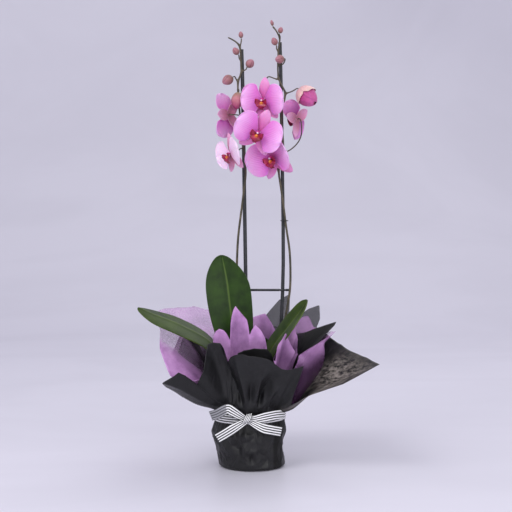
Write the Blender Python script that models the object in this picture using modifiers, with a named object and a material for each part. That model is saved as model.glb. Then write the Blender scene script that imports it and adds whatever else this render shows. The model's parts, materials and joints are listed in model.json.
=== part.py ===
"""Moth orchid with two flower spikes in a nursery pot, gift wrapped and tied with a ribbon.

Metres, +Z up, front towards -Y. The origin is the middle of the flat bottom of the wrapping.
Small shapes are given in millimetres and go through mm().
"""
import math

import bmesh
import bpy
from mathutils import Matrix, Vector

# ---------------------------------------------------------------- driving dimensions
GAP = 0.0003                 # clearance between touching pieces

SHEET_WALL = 0.0008          # wall of each wrapping sheet
SHEET_STEP = 0.0012          # from one sheet to the next one inside it
SHEET_SPOKES = 36            # spokes of a wrapping sheet, so 10 degrees each
BASE_R = 0.0520              # wrapped bottom
BELLY_R = 0.0590             # widest place below the ribbon
BELLY_Z = 0.0560
NECK_R = 0.0553              # where the ribbon pulls the sheets in
NECK_LOW_Z = 0.0715
NECK_HIGH_Z = 0.0915
SHOULDER_FLARE = 0.0050      # the sheets clear the pot's rim by this much more
SHOULDER_Z = 0.1042          # the outermost free sheet opens out above this height
SHEET_RISE = 0.0006          # each sheet opens out this much above the one outside it

POT_FLOOR_Z = 0.0050         # pot's underside, on the innermost sheet
POT_TOP_Z = 0.1045
POT_BASE_R = 0.0445
POT_NECK_R = 0.0502
POT_RIM_R = 0.0526
POT_WALL = 0.0012
DRAIN_R = 0.0040
BARK_TOP_Z = 0.0930

STAKE_R = 0.0030
STEM_R = 0.0027
PEDICEL_R = 0.0013
RIBBON_WIDTH = 0.0150
RIBBON_WALL = 0.0008
RIBBON_Z = 0.0815

# name: colour, roughness
FINISHES = {
    "black_wrap": ((0.025, 0.025, 0.028), 0.80),
    "lilac_wrap": ((0.52, 0.30, 0.58), 0.70),
    "ribbon": ((0.75, 0.74, 0.78), 0.45),
    "pot": ((0.10, 0.08, 0.07), 0.45),
    "bark": ((0.16, 0.08, 0.04), 0.95),
    "leaf": ((0.05, 0.11, 0.025), 0.40),
    "crown": ((0.12, 0.18, 0.05), 0.50),
    "stem": ((0.07, 0.075, 0.04), 0.50),
    "stake": ((0.02, 0.03, 0.02), 0.40),
    "bud": ((0.34, 0.15, 0.16), 0.55),
    "sepal": ((0.78, 0.32, 0.66), 0.55),
    "petal": ((0.86, 0.38, 0.80), 0.50),
    "lip": ((0.30, 0.01, 0.08), 0.45),
    "column": ((0.70, 0.20, 0.50), 0.45),
}


# ---------------------------------------------------------------- scene and helpers
def mm(*values):
    return Vector(value / 1000.0 for value in values)


def clear_scene():
    for item in list(bpy.data.objects):
        bpy.data.objects.remove(item, do_unlink=True)


def collection(name):
    made = bpy.data.collections.new(name)
    bpy.context.scene.collection.children.link(made)
    return made


def finish(name):
    if name in bpy.data.materials:
        return bpy.data.materials[name]
    colour, roughness = FINISHES[name]
    made = bpy.data.materials.new(name)
    made.use_nodes = True
    shader = made.node_tree.nodes["Principled BSDF"]
    shader.inputs["Base Color"].default_value = (*colour, 1.0)
    shader.inputs["Roughness"].default_value = roughness
    shader.inputs["Metallic"].default_value = 0.0
    return made


def add_object(name, data, slot, where):
    made = bpy.data.objects.new(name, data)
    if slot:
        data.materials.append(finish(slot))
    where.objects.link(made)
    return made


def mesh_from(bm, name):
    data = bpy.data.meshes.new(name)
    bm.to_mesh(data)
    bm.free()
    data.shade_smooth()
    return data


def add_wall(item, wall, offset):
    solidify = item.modifiers.new("wall", "SOLIDIFY")
    solidify.thickness = wall
    solidify.offset = offset
    return solidify


def blend_table(table, at):
    """Straight-line reading of a table whose rows start with their position."""
    for low, high in zip(table, table[1:]):
        if low[0] <= at <= high[0]:
            share = (at - low[0]) / (high[0] - low[0])
            return [a + (b - a) * share for a, b in zip(low[1:], high[1:])]
    return list(table[-1][1:])


def smooth_line(points, count):
    """Evenly spaced points on a smooth curve through the given ones."""
    ends = [2 * points[0] - points[1]] + list(points) + [2 * points[-1] - points[-2]]
    made = []
    for step in range(count):
        place = step * (len(points) - 1) / (count - 1)
        index = min(int(place), len(points) - 2)
        t = place - index
        a, b, c, d = ends[index:index + 4]
        bend = (2 * a - 5 * b + 4 * c - d) * t * t + (3 * b - a - 3 * c + d) * t ** 3
        made.append((2 * b + (c - a) * t + bend) / 2)
    return made


def tube(name, points, radius, slot, where, resolution=2, taper=1.0):
    """A round rod along the points; taper is its radius at the far end as a share."""
    curve = bpy.data.curves.new(name, "CURVE")
    curve.dimensions = "3D"
    curve.bevel_depth = radius
    curve.bevel_resolution = resolution
    curve.use_fill_caps = True
    spline = curve.splines.new("POLY")
    spline.points.add(len(points) - 1)
    for index, (target, point) in enumerate(zip(spline.points, points)):
        target.co = (*point, 1.0)
        target.radius = 1.0 + (taper - 1.0) * index / (len(points) - 1)
    return add_object(name, curve, slot, where)


def ring(name, points, radius, slot, where):
    """A closed wire ring through the points."""
    made = tube(name, points, radius, slot, where, resolution=1)
    made.data.splines[0].use_cyclic_u = True
    made.data.use_fill_caps = False
    return made


def as_mesh(item, where):
    """The item's evaluated mesh with its caps welded, in place of the item."""
    graph = bpy.context.evaluated_depsgraph_get()
    graph.update()
    data = bpy.data.meshes.new_from_object(item.evaluated_get(graph))
    bm = bmesh.new()
    bm.from_mesh(data)
    bmesh.ops.remove_doubles(bm, verts=bm.verts, dist=1e-6)
    bmesh.ops.recalc_face_normals(bm, faces=bm.faces)
    bm.to_mesh(data)
    bm.free()
    name = item.name
    matrix = item.matrix_world.copy()
    bpy.data.objects.remove(item, do_unlink=True)
    made = bpy.data.objects.new(name, data)
    made.matrix_world = matrix
    where.objects.link(made)
    return made


def combine(item, operation, others, cutters):
    """Boolean each of the others onto or out of the item."""
    for other in others:
        other.hide_render = True
        other.display_type = "WIRE"
        if other.name not in cutters.objects:
            cutters.objects.link(other)
        boolean = item.modifiers.new(operation.lower(), "BOOLEAN")
        boolean.operation = operation
        boolean.object = other
    return item


def disc_sheet(spokes, rings, place):
    """A disc grown ring by ring; place(angle, share of the way out) gives each point."""
    bm = bmesh.new()
    bmesh.ops.create_circle(bm, cap_ends=True, cap_tris=True, radius=1.0, segments=spokes)
    rim = [edge for edge in bm.edges if edge.is_boundary]
    angles = {}
    for vert in bm.verts:
        angle = math.atan2(vert.co.y, vert.co.x) if vert.co.length > 0.5 else None
        angles[vert] = (angle, 1 if angle is not None else 0)
    for ring_index in range(2, rings + 1):
        known = list(angles)
        made = bmesh.ops.extrude_edge_only(bm, edges=rim)["geom"]
        fresh = [item for item in made if isinstance(item, bmesh.types.BMVert)]
        for vert in fresh:
            old = next(e.other_vert(vert) for e in vert.link_edges if e.other_vert(vert) in known)
            angles[vert] = (angles[old][0], ring_index)
        rim = [edge for edge in bm.edges if edge.is_boundary]
    for vert, (angle, ring_index) in angles.items():
        vert.co = place(angle or 0.0, ring_index / rings)
    bmesh.ops.recalc_face_normals(bm, faces=bm.faces)
    return bm


def face_sheet(bm, direction):
    """Turn the sheet over if its middle face looks away from the direction."""
    bm.normal_update()
    bm.faces.ensure_lookup_table()
    if bm.faces[0].normal.dot(direction) < 0:
        bmesh.ops.reverse_faces(bm, faces=bm.faces)
    return bm


# ---------------------------------------------------------------- wrapping sheets
# Each rib: angle round the pot in degrees (-90 is the front), reach and height in millimetres,
# and how the sheet gets there: 1 goes straight, 2 stands up first and then leans out.
# The sheets take turns from the outside in, and no sheet crosses the one outside it.
BLACK_OUTER = [
    (-180, 104, 138, 1.6), (-160, 101, 125, 1.6), (-150, 117, 128, 1.3), (-140, 166, 142, 1.1),
    (-130, 195, 154, 1), (-120, 94, 204, 1.8), (-110, 92, 178, 1.7), (-100, 102, 193, 1.5),
    (-90, 106, 198, 1.3), (-80, 106, 198, 1.4), (-70, 101, 189, 1.5), (-60, 107, 168, 1.3),
    (-50, 119, 159, 1.1), (-40, 144, 138, 1), (-30, 225, 180, 1), (0, 156, 198, 1.4),
    (10, 146, 208, 1.5), (30, 146, 224, 1.6), (40, 155, 240, 1.6), (50, 140, 218, 1.7),
    (60, 128, 206, 1.8), (90, 110, 170, 1.8), (120, 120, 168, 1.8), (140, 156, 200, 1.6),
    (160, 146, 176, 1.6), (170, 133, 161, 1.6), (180, 104, 138, 1.6),
]
LILAC_OUTER = [
    (-180, 138, 206, 1.9), (-160, 146, 181, 1.8), (-150, 149, 164, 1.7), (-140, 136, 151, 1.5),
    (-130, 86, 158, 1.9), (-120, 67, 152, 2), (-110, 65, 150, 2), (-100, 71, 150, 2),
    (-80, 73, 146, 2), (-70, 64, 130, 2), (-60, 62, 120, 2), (-50, 62, 118, 2), (-40, 74, 130, 1.9),
    (-30, 114, 153, 1.5), (-20, 152, 184, 1.5), (-10, 150, 200, 1.7), (0, 138, 209, 1.8),
    (10, 130, 207, 1.9), (20, 128, 208, 1.9), (40, 130, 222, 1.9), (80, 92, 205, 2),
    (110, 92, 214, 2), (120, 102, 230, 2), (150, 139, 238, 1.9), (180, 138, 206, 1.9),
]
BLACK_INNER = [
    (-180, 74, 160, 2), (-160, 91, 186, 2), (-150, 95, 186, 2), (-140, 82, 161, 2),
    (-130, 64, 139, 2), (-110, 60, 140, 2), (-100, 72, 178, 2), (-90, 82, 188, 2),
    (-80, 84, 190, 2), (-70, 75, 179, 2), (-60, 71, 157, 2), (-50, 72, 149, 2.1), (-40, 86, 150, 2),
    (-30, 100, 168, 2), (-10, 120, 201, 2), (0, 125, 214, 2), (10, 125, 222, 2), (30, 99, 207, 2),
    (40, 91, 203, 2), (50, 97, 216, 2), (60, 122, 260, 2), (70, 106, 240, 2), (80, 83, 213, 2),
    (90, 72, 190, 2), (110, 69, 173, 2), (140, 74, 176, 2), (160, 74, 160, 2), (180, 74, 160, 2),
]
LILAC_INNER = [
    (-180, 66, 178, 2), (-160, 70, 169, 2), (-150, 69, 178, 2), (-140, 67, 210, 2),
    (-130, 65, 220, 2), (-120, 60, 220, 2), (-110, 60, 253, 2), (-100, 60, 226, 2),
    (-90, 61, 215, 2), (-80, 62, 225, 2), (-60, 64, 189, 2), (-50, 73, 210, 2), (-40, 70, 186, 2),
    (-30, 71, 188, 2), (-20, 76, 180, 2), (0, 76, 178, 2), (20, 76, 205, 2), (30, 82, 229, 2),
    (50, 70, 200, 2), (70, 73, 233, 2), (90, 64, 226, 2), (110, 64, 224, 2), (150, 66, 190, 2),
    (180, 66, 178, 2),
]
SHEETS = [
    ("wrap_black_outer", "black_wrap", BLACK_OUTER),
    ("wrap_lilac_outer", "lilac_wrap", LILAC_OUTER),
    ("wrap_black_inner", "black_wrap", BLACK_INNER),
    ("wrap_lilac_inner", "lilac_wrap", LILAC_INNER),
]
CUP_RINGS = 5                # bottom edge, belly, both sides of the neck, shoulder
FLARE_RINGS = 3
FLARE_STAND = 0.45           # how long a free sheet keeps rising before it leans out


def wrap_sheet(name, slot, ribs, layer, parts):
    inset = layer * SHEET_STEP
    floor = layer * SHEET_STEP
    shoulder = SHOULDER_Z + layer * SHEET_RISE
    rings = CUP_RINGS + FLARE_RINGS
    cup = [
        (BASE_R, 0.0), (BELLY_R, BELLY_Z), (NECK_R, NECK_LOW_Z), (NECK_R, NECK_HIGH_Z),
        (NECK_R + SHOULDER_FLARE, shoulder),
    ]

    def place(angle, share):
        index = round(share * rings)
        if index == 0:
            return Vector((0.0, 0.0, floor))
        if index <= CUP_RINGS:
            radius, height = cup[index - 1]
            radius -= inset
            height = max(height, floor)
        else:
            reach, top, lean = blend_table(ribs, math.degrees(angle))
            t = (index - CUP_RINGS) / FLARE_RINGS
            start = NECK_R + SHOULDER_FLARE - inset
            radius = start + (reach / 1000.0 - start) * t ** lean
            stand = 2 * FLARE_STAND * t * (1 - t) + t * t
            rise = t + (stand - t) * (lean - 1)
            height = shoulder + (top / 1000.0 - shoulder) * rise
        return Vector((radius * math.cos(angle), radius * math.sin(angle), height))

    bm = face_sheet(disc_sheet(SHEET_SPOKES, rings, place), Vector((0, 0, -1)))
    item = add_object(name, mesh_from(bm, name), slot, parts)
    add_wall(item, SHEET_WALL, -1.0)
    return item


def ribbon(parts, cutters):
    inner = NECK_R + GAP + 0.0001
    outer = inner + RIBBON_WALL
    low = RIBBON_Z - RIBBON_WIDTH / 2
    high = RIBBON_Z + RIBBON_WIDTH / 2
    turned("ribbon_band", [(inner, low), (inner, high), (outer, high), (outer, low)], "ribbon",
           parts, steps=40, closed=True)

    knot_place = mm(-3.5, -61.5, 82.5)
    bpy.ops.mesh.primitive_cube_add(size=1.0)
    knot = bpy.context.object
    knot.name = "ribbon_bow"
    knot.data.transform(Matrix.Diagonal((0.010, 0.0080, 0.0130, 1.0)))
    knot.location = knot_place
    for owner in list(knot.users_collection):
        owner.objects.unlink(knot)
    parts.objects.link(knot)
    knot.data.materials.append(finish("ribbon"))
    tails = {
        "tail_left_high": [(-4, -62, 84), (-22, -67, 94), (-38, -66, 98), (-58, -62, 90)],
        "tail_left_low": [(-4, -62, 81), (-20, -67, 74), (-34, -66, 64), (-48, -60, 56)],
        "tail_right_high": [(-3, -62, 83), (18, -67, 86), (40, -64, 88), (60, -50, 86)],
        "tail_right_low": [(-3, -62, 81), (16, -68, 76), (34, -67, 70), (52, -58, 62)],
    }
    strips = [strip(name, [mm(*p) for p in points], cutters) for name, points in tails.items()]
    combine(knot, "UNION", strips, cutters)


def strip(name, points, where):
    """A flat tail of ribbon standing on edge along the points."""
    line = smooth_line(points, 7)
    bm = bmesh.new()
    bmesh.ops.create_grid(bm, x_segments=len(line) - 1, y_segments=1, size=0.5)
    for vert in bm.verts:
        index = round((vert.co.x + 0.5) * (len(line) - 1))
        side = 1.0 if vert.co.y > 0 else -1.0
        ahead = line[min(index + 1, len(line) - 1)] - line[max(index - 1, 0)]
        across = Vector((0, -1, 0)).cross(ahead).normalized()
        vert.co = line[index] + across * side * RIBBON_WIDTH * 0.5
    bmesh.ops.recalc_face_normals(bm, faces=bm.faces)
    item = add_object(name, mesh_from(bm, name), "ribbon", where)
    add_wall(item, RIBBON_WALL, 0.0)
    return as_mesh(item, where)


# ---------------------------------------------------------------- pot, bark and crown
def turned(name, profile, slot, parts, steps=28, closed=False):
    """A profile of (radius, height) points spun round the Z axis."""
    bm = bmesh.new()
    verts = [bm.verts.new((radius, 0.0, height)) for radius, height in profile]
    for a, b in zip(verts, verts[1:]):
        bm.edges.new((a, b))
    if closed:
        bm.edges.new((verts[-1], verts[0]))
    item = add_object(name, mesh_from(bm, name), slot, parts)
    screw = item.modifiers.new("spin", "SCREW")
    screw.steps = steps
    screw.render_steps = steps
    screw.use_merge_vertices = True
    screw.merge_threshold = 0.00001
    return item


def pot(parts, cutters):
    inside = [(r - POT_WALL, z) for r, z in [(POT_BASE_R, 0.0062), (POT_NECK_R, 0.0915)]]
    profile = [(0.0, POT_FLOOR_Z + POT_WALL)] + inside
    profile += [(POT_NECK_R, POT_TOP_Z), (POT_RIM_R, POT_TOP_Z), (POT_RIM_R, 0.0990)]
    profile += [(POT_NECK_R + 0.0008, 0.0975), (POT_NECK_R, 0.0915), (POT_BASE_R, POT_FLOOR_Z)]
    profile += [(0.0, POT_FLOOR_Z)]
    item = turned("nursery_pot", profile, "pot", parts)
    drains = []
    for index in range(4):
        angle = math.radians(45 + 90 * index)
        bpy.ops.mesh.primitive_cylinder_add(vertices=10, radius=DRAIN_R, depth=0.01)
        drain = bpy.context.object
        drain.name = f"drain_{index}"
        drain.location = (0.028 * math.cos(angle), 0.028 * math.sin(angle), POT_FLOOR_Z)
        drains.append(drain)
        for owner in list(drain.users_collection):
            owner.objects.unlink(drain)
        cutters.objects.link(drain)
    return combine(item, "DIFFERENCE", drains, cutters)


def bark(parts, cutters, stake_lines):
    wall = POT_WALL + GAP + 0.0002
    low = POT_FLOOR_Z + POT_WALL + GAP
    profile = [
        (0.0, BARK_TOP_Z + 0.0005), (0.020, BARK_TOP_Z), (0.038, BARK_TOP_Z - 0.0030),
        (POT_NECK_R - wall - 0.0006, BARK_TOP_Z - 0.0080), (POT_BASE_R - wall, low + 0.0008),
        (0.0, low),
    ]
    item = turned("bark_and_roots", profile, "bark", parts)
    holes = []
    for name, line in stake_lines.items():
        low_end = line[0] - Vector((0, 0, GAP))
        above = [point for point in line[1:] if point.z < 2 * BARK_TOP_Z]
        hole = tube("hole_" + name, [low_end] + above, STAKE_R + GAP, None, cutters)
        holes.append(as_mesh(hole, cutters))
    return combine(item, "DIFFERENCE", holes, cutters)


def crown(parts):
    bm = bmesh.new()
    bmesh.ops.create_uvsphere(bm, u_segments=12, v_segments=7, radius=1.0)
    bmesh.ops.scale(bm, verts=bm.verts, vec=(0.0085, 0.0085, 0.0150))
    bmesh.ops.translate(bm, verts=bm.verts, vec=(0, 0, BARK_TOP_Z + 0.0162))
    return add_object("crown", mesh_from(bm, "crown"), "crown", parts)


# ---------------------------------------------------------------- leaves
# Middle line and half widths in millimetres, then the way across the blade.
LEAVES = {
    "leaf_tall": (
        [(-4, -14, 113), (-12, -18, 150), (-22, -19, 195), (-30, -17, 245), (-36, -11, 292),
         (-44, -4, 332)],
        [7, 16, 27, 34, 33, 4], (1.0, 0.10, 0.0)),
    "leaf_left": (
        [(-15, -2, 114), (-30, -8, 152), (-62, -15, 196), (-108, -24, 224), (-146, -30, 240),
         (-173, -32, 252)],
        [5, 14, 24, 27, 20, 3], (0.0, -0.93, -0.36)),
    "leaf_right": (
        [(13, -6, 113), (19, -13, 145), (33, -20, 185), (58, -25, 220), (78, -24, 246),
         (89, -22, 263)],
        [5, 13, 20, 22, 16, 3], (0.33, -0.917, -0.23)),
    "leaf_back": (
        [(9, 13.5, 113), (15, 24, 140), (20, 36, 168), (23, 43, 196)],
        [5, 13, 18, 4], (1.0, -0.30, 0.0)),
}
LEAF_WALL = 0.0022
LEAF_ROWS = 9
LEAF_FOLD = 0.14             # rise of the blade's edges over its midrib, as a share of width


def leaf(name, line, widths, across, parts):
    middle = smooth_line([mm(*point) for point in line], LEAF_ROWS + 1)
    table = [(index / (len(widths) - 1), width) for index, width in enumerate(widths)]
    across = Vector(across).normalized()
    bm = bmesh.new()
    bmesh.ops.create_grid(bm, x_segments=LEAF_ROWS, y_segments=4, size=0.5)
    for vert in bm.verts:
        share = vert.co.x + 0.5
        side = vert.co.y * 2
        index = round(share * LEAF_ROWS)
        ahead = middle[min(index + 1, LEAF_ROWS)] - middle[max(index - 1, 0)]
        upward = across.cross(ahead).normalized()
        width = blend_table(table, share)[0] / 1000.0
        vert.co = middle[index] + across * side * width + upward * abs(side) * width * LEAF_FOLD
    bmesh.ops.recalc_face_normals(bm, faces=bm.faces)
    item = add_object(name, mesh_from(bm, name), "leaf", parts)
    add_wall(item, LEAF_WALL, 0.0)
    return item


# ---------------------------------------------------------------- stakes, stems and clips
STAKES = {
    "stake_left": [(-2, 15, 22), (-3, 15, 70), (-4.5, 15, 130), (-7, 15, 307), (-8.7, 15, 417),
                   (-11, 15, 573), (-13, 15, 652)],
    "stake_right": [(34, 11, 22), (39, 13, 70), (43.5, 15, 120), (50.5, 15, 250), (52.4, 15, 339),
                    (50.6, 15, 472), (48.5, 15, 597), (46.8, 15, 663)],
}
STEMS = {
    "flower_stem_left": [(-10, 10, 97), (-14, 9, 150), (-19, 8, 220), (-21, 7.5, 290),
                         (-19.6, 7, 347), (-16.5, 7, 378), (-11.7, 7, 414), (-8.6, 7, 441),
                         (-6.2, 7, 461), (-9.3, 6, 495), (-15.5, 6, 550), (-18.6, 7, 581),
                         (-18.6, 7, 601), (-13.2, 7, 616), (-14, 7, 634), (-15.5, 7, 656),
                         (-24.8, 7.5, 665), (-35, 8, 670)],
    "flower_stem_right": [(11, 9, 97), (20, 6, 125), (38, 4, 160), (49, 6, 195), (55, 8, 229),
                          (60.5, 8, 260), (63.6, 8, 284), (63.2, 8, 323), (61.2, 8, 347),
                          (57.4, 8, 369), (52, 7, 412), (47.6, 7, 442), (44.5, 6, 464),
                          (48.4, 5, 483), (52.3, 5, 495), (50.7, 5, 525), (48.3, 5, 545),
                          (52.2, 5, 565), (55.2, 5, 584), (49.1, 6, 596), (43.6, 7, 610),
                          (43.4, 7, 635), (44.4, 7, 653), (46.7, 8, 667), (42, 8, 678),
                          (36.5, 8, 686)],
}


def stakes(parts):
    lines = {}
    for name, points in STAKES.items():
        line = smooth_line([mm(*p) for p in points], 14)
        lines[name] = line
        tube(name, line, STAKE_R, "stake", parts)
    return lines


def clip(name, a, b, parts):
    """A wire ring round a stake at a and a stem at b, both at one height, in millimetres."""
    start = Vector(a)
    end = Vector(b)
    along = (end - start).normalized()
    heading = math.atan2(along.y, along.x)
    points = []
    for centre, turn in ((end, -90), (start, 90)):
        for step in range(5):
            angle = heading + math.radians(turn + 45 * step)
            points.append((centre + 4.3 * Vector((math.cos(angle), math.sin(angle), 0))) / 1000.0)
    return ring(name, points, 0.0008, "stake", parts)


def brace(parts, cutters):
    """The cross bar with a ring round each stake and a short end past each ring."""
    height = 0.2755
    left = mm(-6.6, 15, 275.5)
    right = mm(51.4, 15, 275.5)
    middle = Vector((0, 0, 0))
    pieces = []
    for name, centre in (("brace_ring_left", left), ("brace_ring_right", right)):
        bpy.ops.mesh.primitive_torus_add(major_segments=14, minor_segments=6,
                                         major_radius=0.0048, minor_radius=0.0014)
        made = bpy.context.object
        made.name = name
        made.location = centre
        for owner in list(made.users_collection):
            owner.objects.unlink(made)
        cutters.objects.link(made)
        pieces.append(made)
        middle += centre / 2
    bar = tube("cross_brace", [left + mm(4.8, 0, 0), middle, right - mm(4.8, 0, 0)], 0.0019,
               None, parts)
    bar = as_mesh(bar, parts)
    bar.data.materials.append(finish("stake"))
    ends = []
    for name, start, end in (("brace_end_left", left.x - 0.0048, left.x - 0.0120),
                             ("brace_end_right", right.x + 0.0048, right.x + 0.0125)):
        points = [Vector((start, 0.015, height)), Vector((end, 0.015, height))]
        ends.append(as_mesh(tube(name, points, 0.0019, None, cutters), cutters))
    return combine(bar, "UNION", pieces + ends, cutters)


# ---------------------------------------------------------------- flowers
# Place of the flower's middle in millimetres, turn to the side, droop, roll, size and hollow.
# A turn of 0 faces the front and a positive one faces right; a roll is clockwise from the front.
# The hollow is how far each petal leans forward for its length.
FLOWERS = {
    "flower_1": ((22, -27, 571), -26, 6, 3, 0.96, 0.10),
    "flower_2": ((14, -48, 521), -12, 8, 24, 1.02, 0.10),
    "flower_3": ((36, -20, 484), -34, 12, -14, 1.06, 0.36),
    "flower_4": ((-34, -8, 549), -122, 4, 90, 0.92, 0.15),
    "flower_5": ((-28, -26, 489), -58, 10, -10, 0.90, 0.10),
    "flower_6": ((73, 5, 543), -128, 4, -60, 0.84, 0.15),
}
SEPAL_ANGLES = (90, -52, -128)
SEPAL_LONG = 36.0
SEPAL_WIDE = 20.0
PETAL_WAY = 5                # degrees that a petal's axis points above the horizontal
PETAL_MIDDLE = 19.8          # from the flower's middle to the petal's middle
PETAL_REACH = 17.5
PETAL_HALF = 24.5            # half its width
PETAL_NECK = 18.0            # a petal is narrower nearer the flower's middle than this
PETAL_WALL = 0.0009


def flower_matrix(place, turn, droop, roll, size):
    """From the flower's own frame, x right, y up and z forward, to the part's frame."""
    return (Matrix.Translation(mm(*place))
            @ Matrix.Rotation(math.radians(turn), 4, "Z")
            @ Matrix.Rotation(math.radians(90 + droop), 4, "X")
            @ Matrix.Rotation(math.radians(-roll), 4, "Z")
            @ Matrix.Scale(size, 4))


def sepal_reach(angle):
    """Outline of the three sepals: the far side of the nearest sepal's ellipse."""
    best = 3.0
    for way in SEPAL_ANGLES:
        turn = (math.degrees(angle) - way + 180) % 360 - 180
        x = math.cos(math.radians(turn))
        y = math.sin(math.radians(turn))
        long, wide, centre = SEPAL_LONG / 2, SEPAL_WIDE / 2, SEPAL_LONG / 2 - 1
        a = (x / long) ** 2 + (y / wide) ** 2
        b = -2 * x * centre / long ** 2
        c = (centre / long) ** 2 - 1
        root = b * b - 4 * a * c
        if root > 0 and x > 0:
            best = max(best, (-b + math.sqrt(root)) / (2 * a))
    return best


def sepal_place(angle, share):
    reach = sepal_reach(angle) * share
    back = -3.0 * (reach / SEPAL_LONG) ** 2
    return mm(reach * math.cos(angle), reach * math.sin(angle), back)


def petal_place(side, hollow):
    way = math.radians(PETAL_WAY)

    def place(angle, share):
        along = PETAL_MIDDLE + PETAL_REACH * share * math.cos(angle)
        narrow = min(1.0, 0.25 + along / PETAL_NECK)
        across = PETAL_HALF * share * math.sin(angle) * narrow
        rise = 2.4 + 1.25 * along / PETAL_MIDDLE - 1.5 * (across / PETAL_HALF) ** 2
        rise += hollow * along
        x = along * math.cos(way) - across * math.sin(way)
        y = along * math.sin(way) + across * math.cos(way)
        return mm(side * x, y, rise)
    return place


def lip_place(angle, share):
    x = 7.0 * share * math.cos(angle)
    v = share * math.sin(angle)
    return mm(x, -9.0 + 5.5 * v + 0.07 * x * x, 10.5 - 4.0 * v)


def flower(name, place, turn, droop, roll, size, hollow, parts):
    """Five pieces of one flower; gives the last two points of its stalk."""
    matrix = flower_matrix(place, turn, droop, roll, size)
    sheets = [
        ("sepals", disc_sheet(24, 2, sepal_place), "sepal"),
        ("petal_left", disc_sheet(14, 2, petal_place(-1, hollow)), "petal"),
        ("petal_right", disc_sheet(14, 2, petal_place(1, hollow)), "petal"),
        ("lip", disc_sheet(10, 2, lip_place), "lip"),
    ]
    for piece, bm, slot in sheets:
        bm.transform(matrix)
        bmesh.ops.recalc_face_normals(bm, faces=bm.faces)
        full = f"{name}_{piece}"
        item = add_object(full, mesh_from(bm, full), slot, parts)
        add_wall(item, PETAL_WALL * size, 0.0)
    bm = bmesh.new()
    bmesh.ops.create_uvsphere(bm, u_segments=8, v_segments=5, radius=1.0)
    bmesh.ops.scale(bm, verts=bm.verts, vec=mm(2.4, 2.6, 4.0))
    bmesh.ops.translate(bm, verts=bm.verts, vec=mm(0, 1.5, 7.6))
    bm.transform(matrix)
    full = f"{name}_column"
    add_object(full, mesh_from(bm, full), "column", parts)
    return [matrix @ mm(0, 0, -9.0), matrix @ mm(0, 0, -1.3)]


# ---------------------------------------------------------------- buds
# Middle, half length and radius in millimetres, then the way the tip points.
BUDS = {
    "bud_left_1": ((-19.5, -7.5, 571), 13.8, 9.7, (-0.15, -0.35, -1.0)),
    "bud_left_2": ((-34.5, 2, 603.5), 9.4, 7.8, (-0.80, -0.25, -0.45)),
    "bud_left_3": ((0.2, 1, 629), 7.6, 6.6, (0.5, -0.5, 0.6)),
    "bud_left_4": ((-21.8, 2, 648), 6.4, 5.2, (-0.5, -0.3, 0.7)),
    "bud_left_5": ((-14, 5, 673.5), 5.2, 3.7, (-0.1, -0.1, 1.0)),
    "bud_right_1": ((46, -4, 635), 7.6, 6.6, (-0.8, -0.5, -0.1)),
    "bud_right_2": ((38, 2, 663), 6.4, 5.0, (-0.4, -0.3, 0.85)),
    "bud_right_3": ((47.5, 5, 680.5), 5.0, 4.0, (0.3, -0.1, 0.95)),
    "bud_right_4": ((34.2, 7, 692), 4.6, 2.6, (-0.3, -0.1, 1.0)),
    "flower_opening": ((88.5, -6, 577.5), 18.5, 17.5, (0.65, -0.45, -0.6)),
}
BUD_POINT = 0.22             # how far a bud's tip half is drawn in


def bud(name, place, half, radius, way, parts):
    """An egg whose tip half is drawn to a point; gives the last two points of its stalk."""
    bm = bmesh.new()
    around = 12 if radius > 12 else 8
    bmesh.ops.create_uvsphere(bm, u_segments=around, v_segments=around // 2 + 2, radius=1.0)
    for vert in bm.verts:
        narrow = 1.0 - BUD_POINT * max(vert.co.z, 0.0)
        vert.co = mm(vert.co.x * radius * narrow, vert.co.y * radius * narrow, vert.co.z * half)
    way = Vector(way).normalized()
    turn = Vector((0, 0, 1)).rotation_difference(way).to_matrix().to_4x4()
    bm.transform(Matrix.Translation(mm(*place)) @ turn)
    add_object(name, mesh_from(bm, name), "bud", parts)
    tail = mm(*place) - way * (half / 1000.0 + GAP + 0.0001)
    return [tail - way * min(0.004, half / 3000.0), tail]


# For each stalk: where it leaves its stem and the points on its way, in millimetres.
STALKS = {
    "flower_stem_left": {
        "flower_4": [(-15.3, 6, 548), (-16, -3, 549)],
        "flower_5": [(-9.8, 6, 497), (-15, 2, 498)],
        "bud_left_1": [(-18.6, 7, 585), (-19, 3, 591)],
        "bud_left_2": [(-18.6, 7, 600), (-22, 7, 606)],
        "bud_left_3": [(-13.6, 7, 617), (-6, 6, 620)],
        "bud_left_4": [(-14, 7, 634), (-17, 5, 637)],
        "bud_left_5": [(-15.2, 7, 656), (-13.5, 6, 663)],
    },
    "flower_stem_right": {
        "flower_1": [(43.6, 7, 604), (34, 8, 608), (26, 7, 609), (25, 2, 590)],
        "flower_2": [(50.7, 5, 524), (44, -10, 524), (32, -26, 521)],
        "flower_3": [(44.5, 6, 466), (34, 5, 470)],
        "flower_6": [(51, 5, 490), (64, 5, 496), (76, 4.5, 508), (81, 3.5, 523)],
        "flower_opening": [(55, 5, 583), (66, 2, 586)],
        "bud_right_1": [(43.4, 7, 627), (52, 7, 628)],
        "bud_right_2": [(43.8, 7, 648), (41, 5, 652)],
        "bud_right_3": [(46.4, 8, 667), (47, 6, 671)],
        "bud_right_4": [(38.5, 8, 683), (36, 7.6, 685)],
    },
}


def stem(name, points, stalks, ends, parts, cutters):
    line = smooth_line([mm(*p) for p in points], 2 * len(points))
    main = as_mesh(tube(name, line, STEM_R, None, parts, resolution=1, taper=0.55), parts)
    main.data.materials.append(finish("stem"))
    branches = []
    for target, way in stalks.items():
        route = smooth_line([mm(*p) for p in way] + ends[target], 2 * len(way) + 3)
        branch = tube("stalk_to_" + target, route, PEDICEL_R, None, cutters, resolution=1)
        branches.append(as_mesh(branch, cutters))
    return combine(main, "UNION", branches, cutters)


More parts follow.
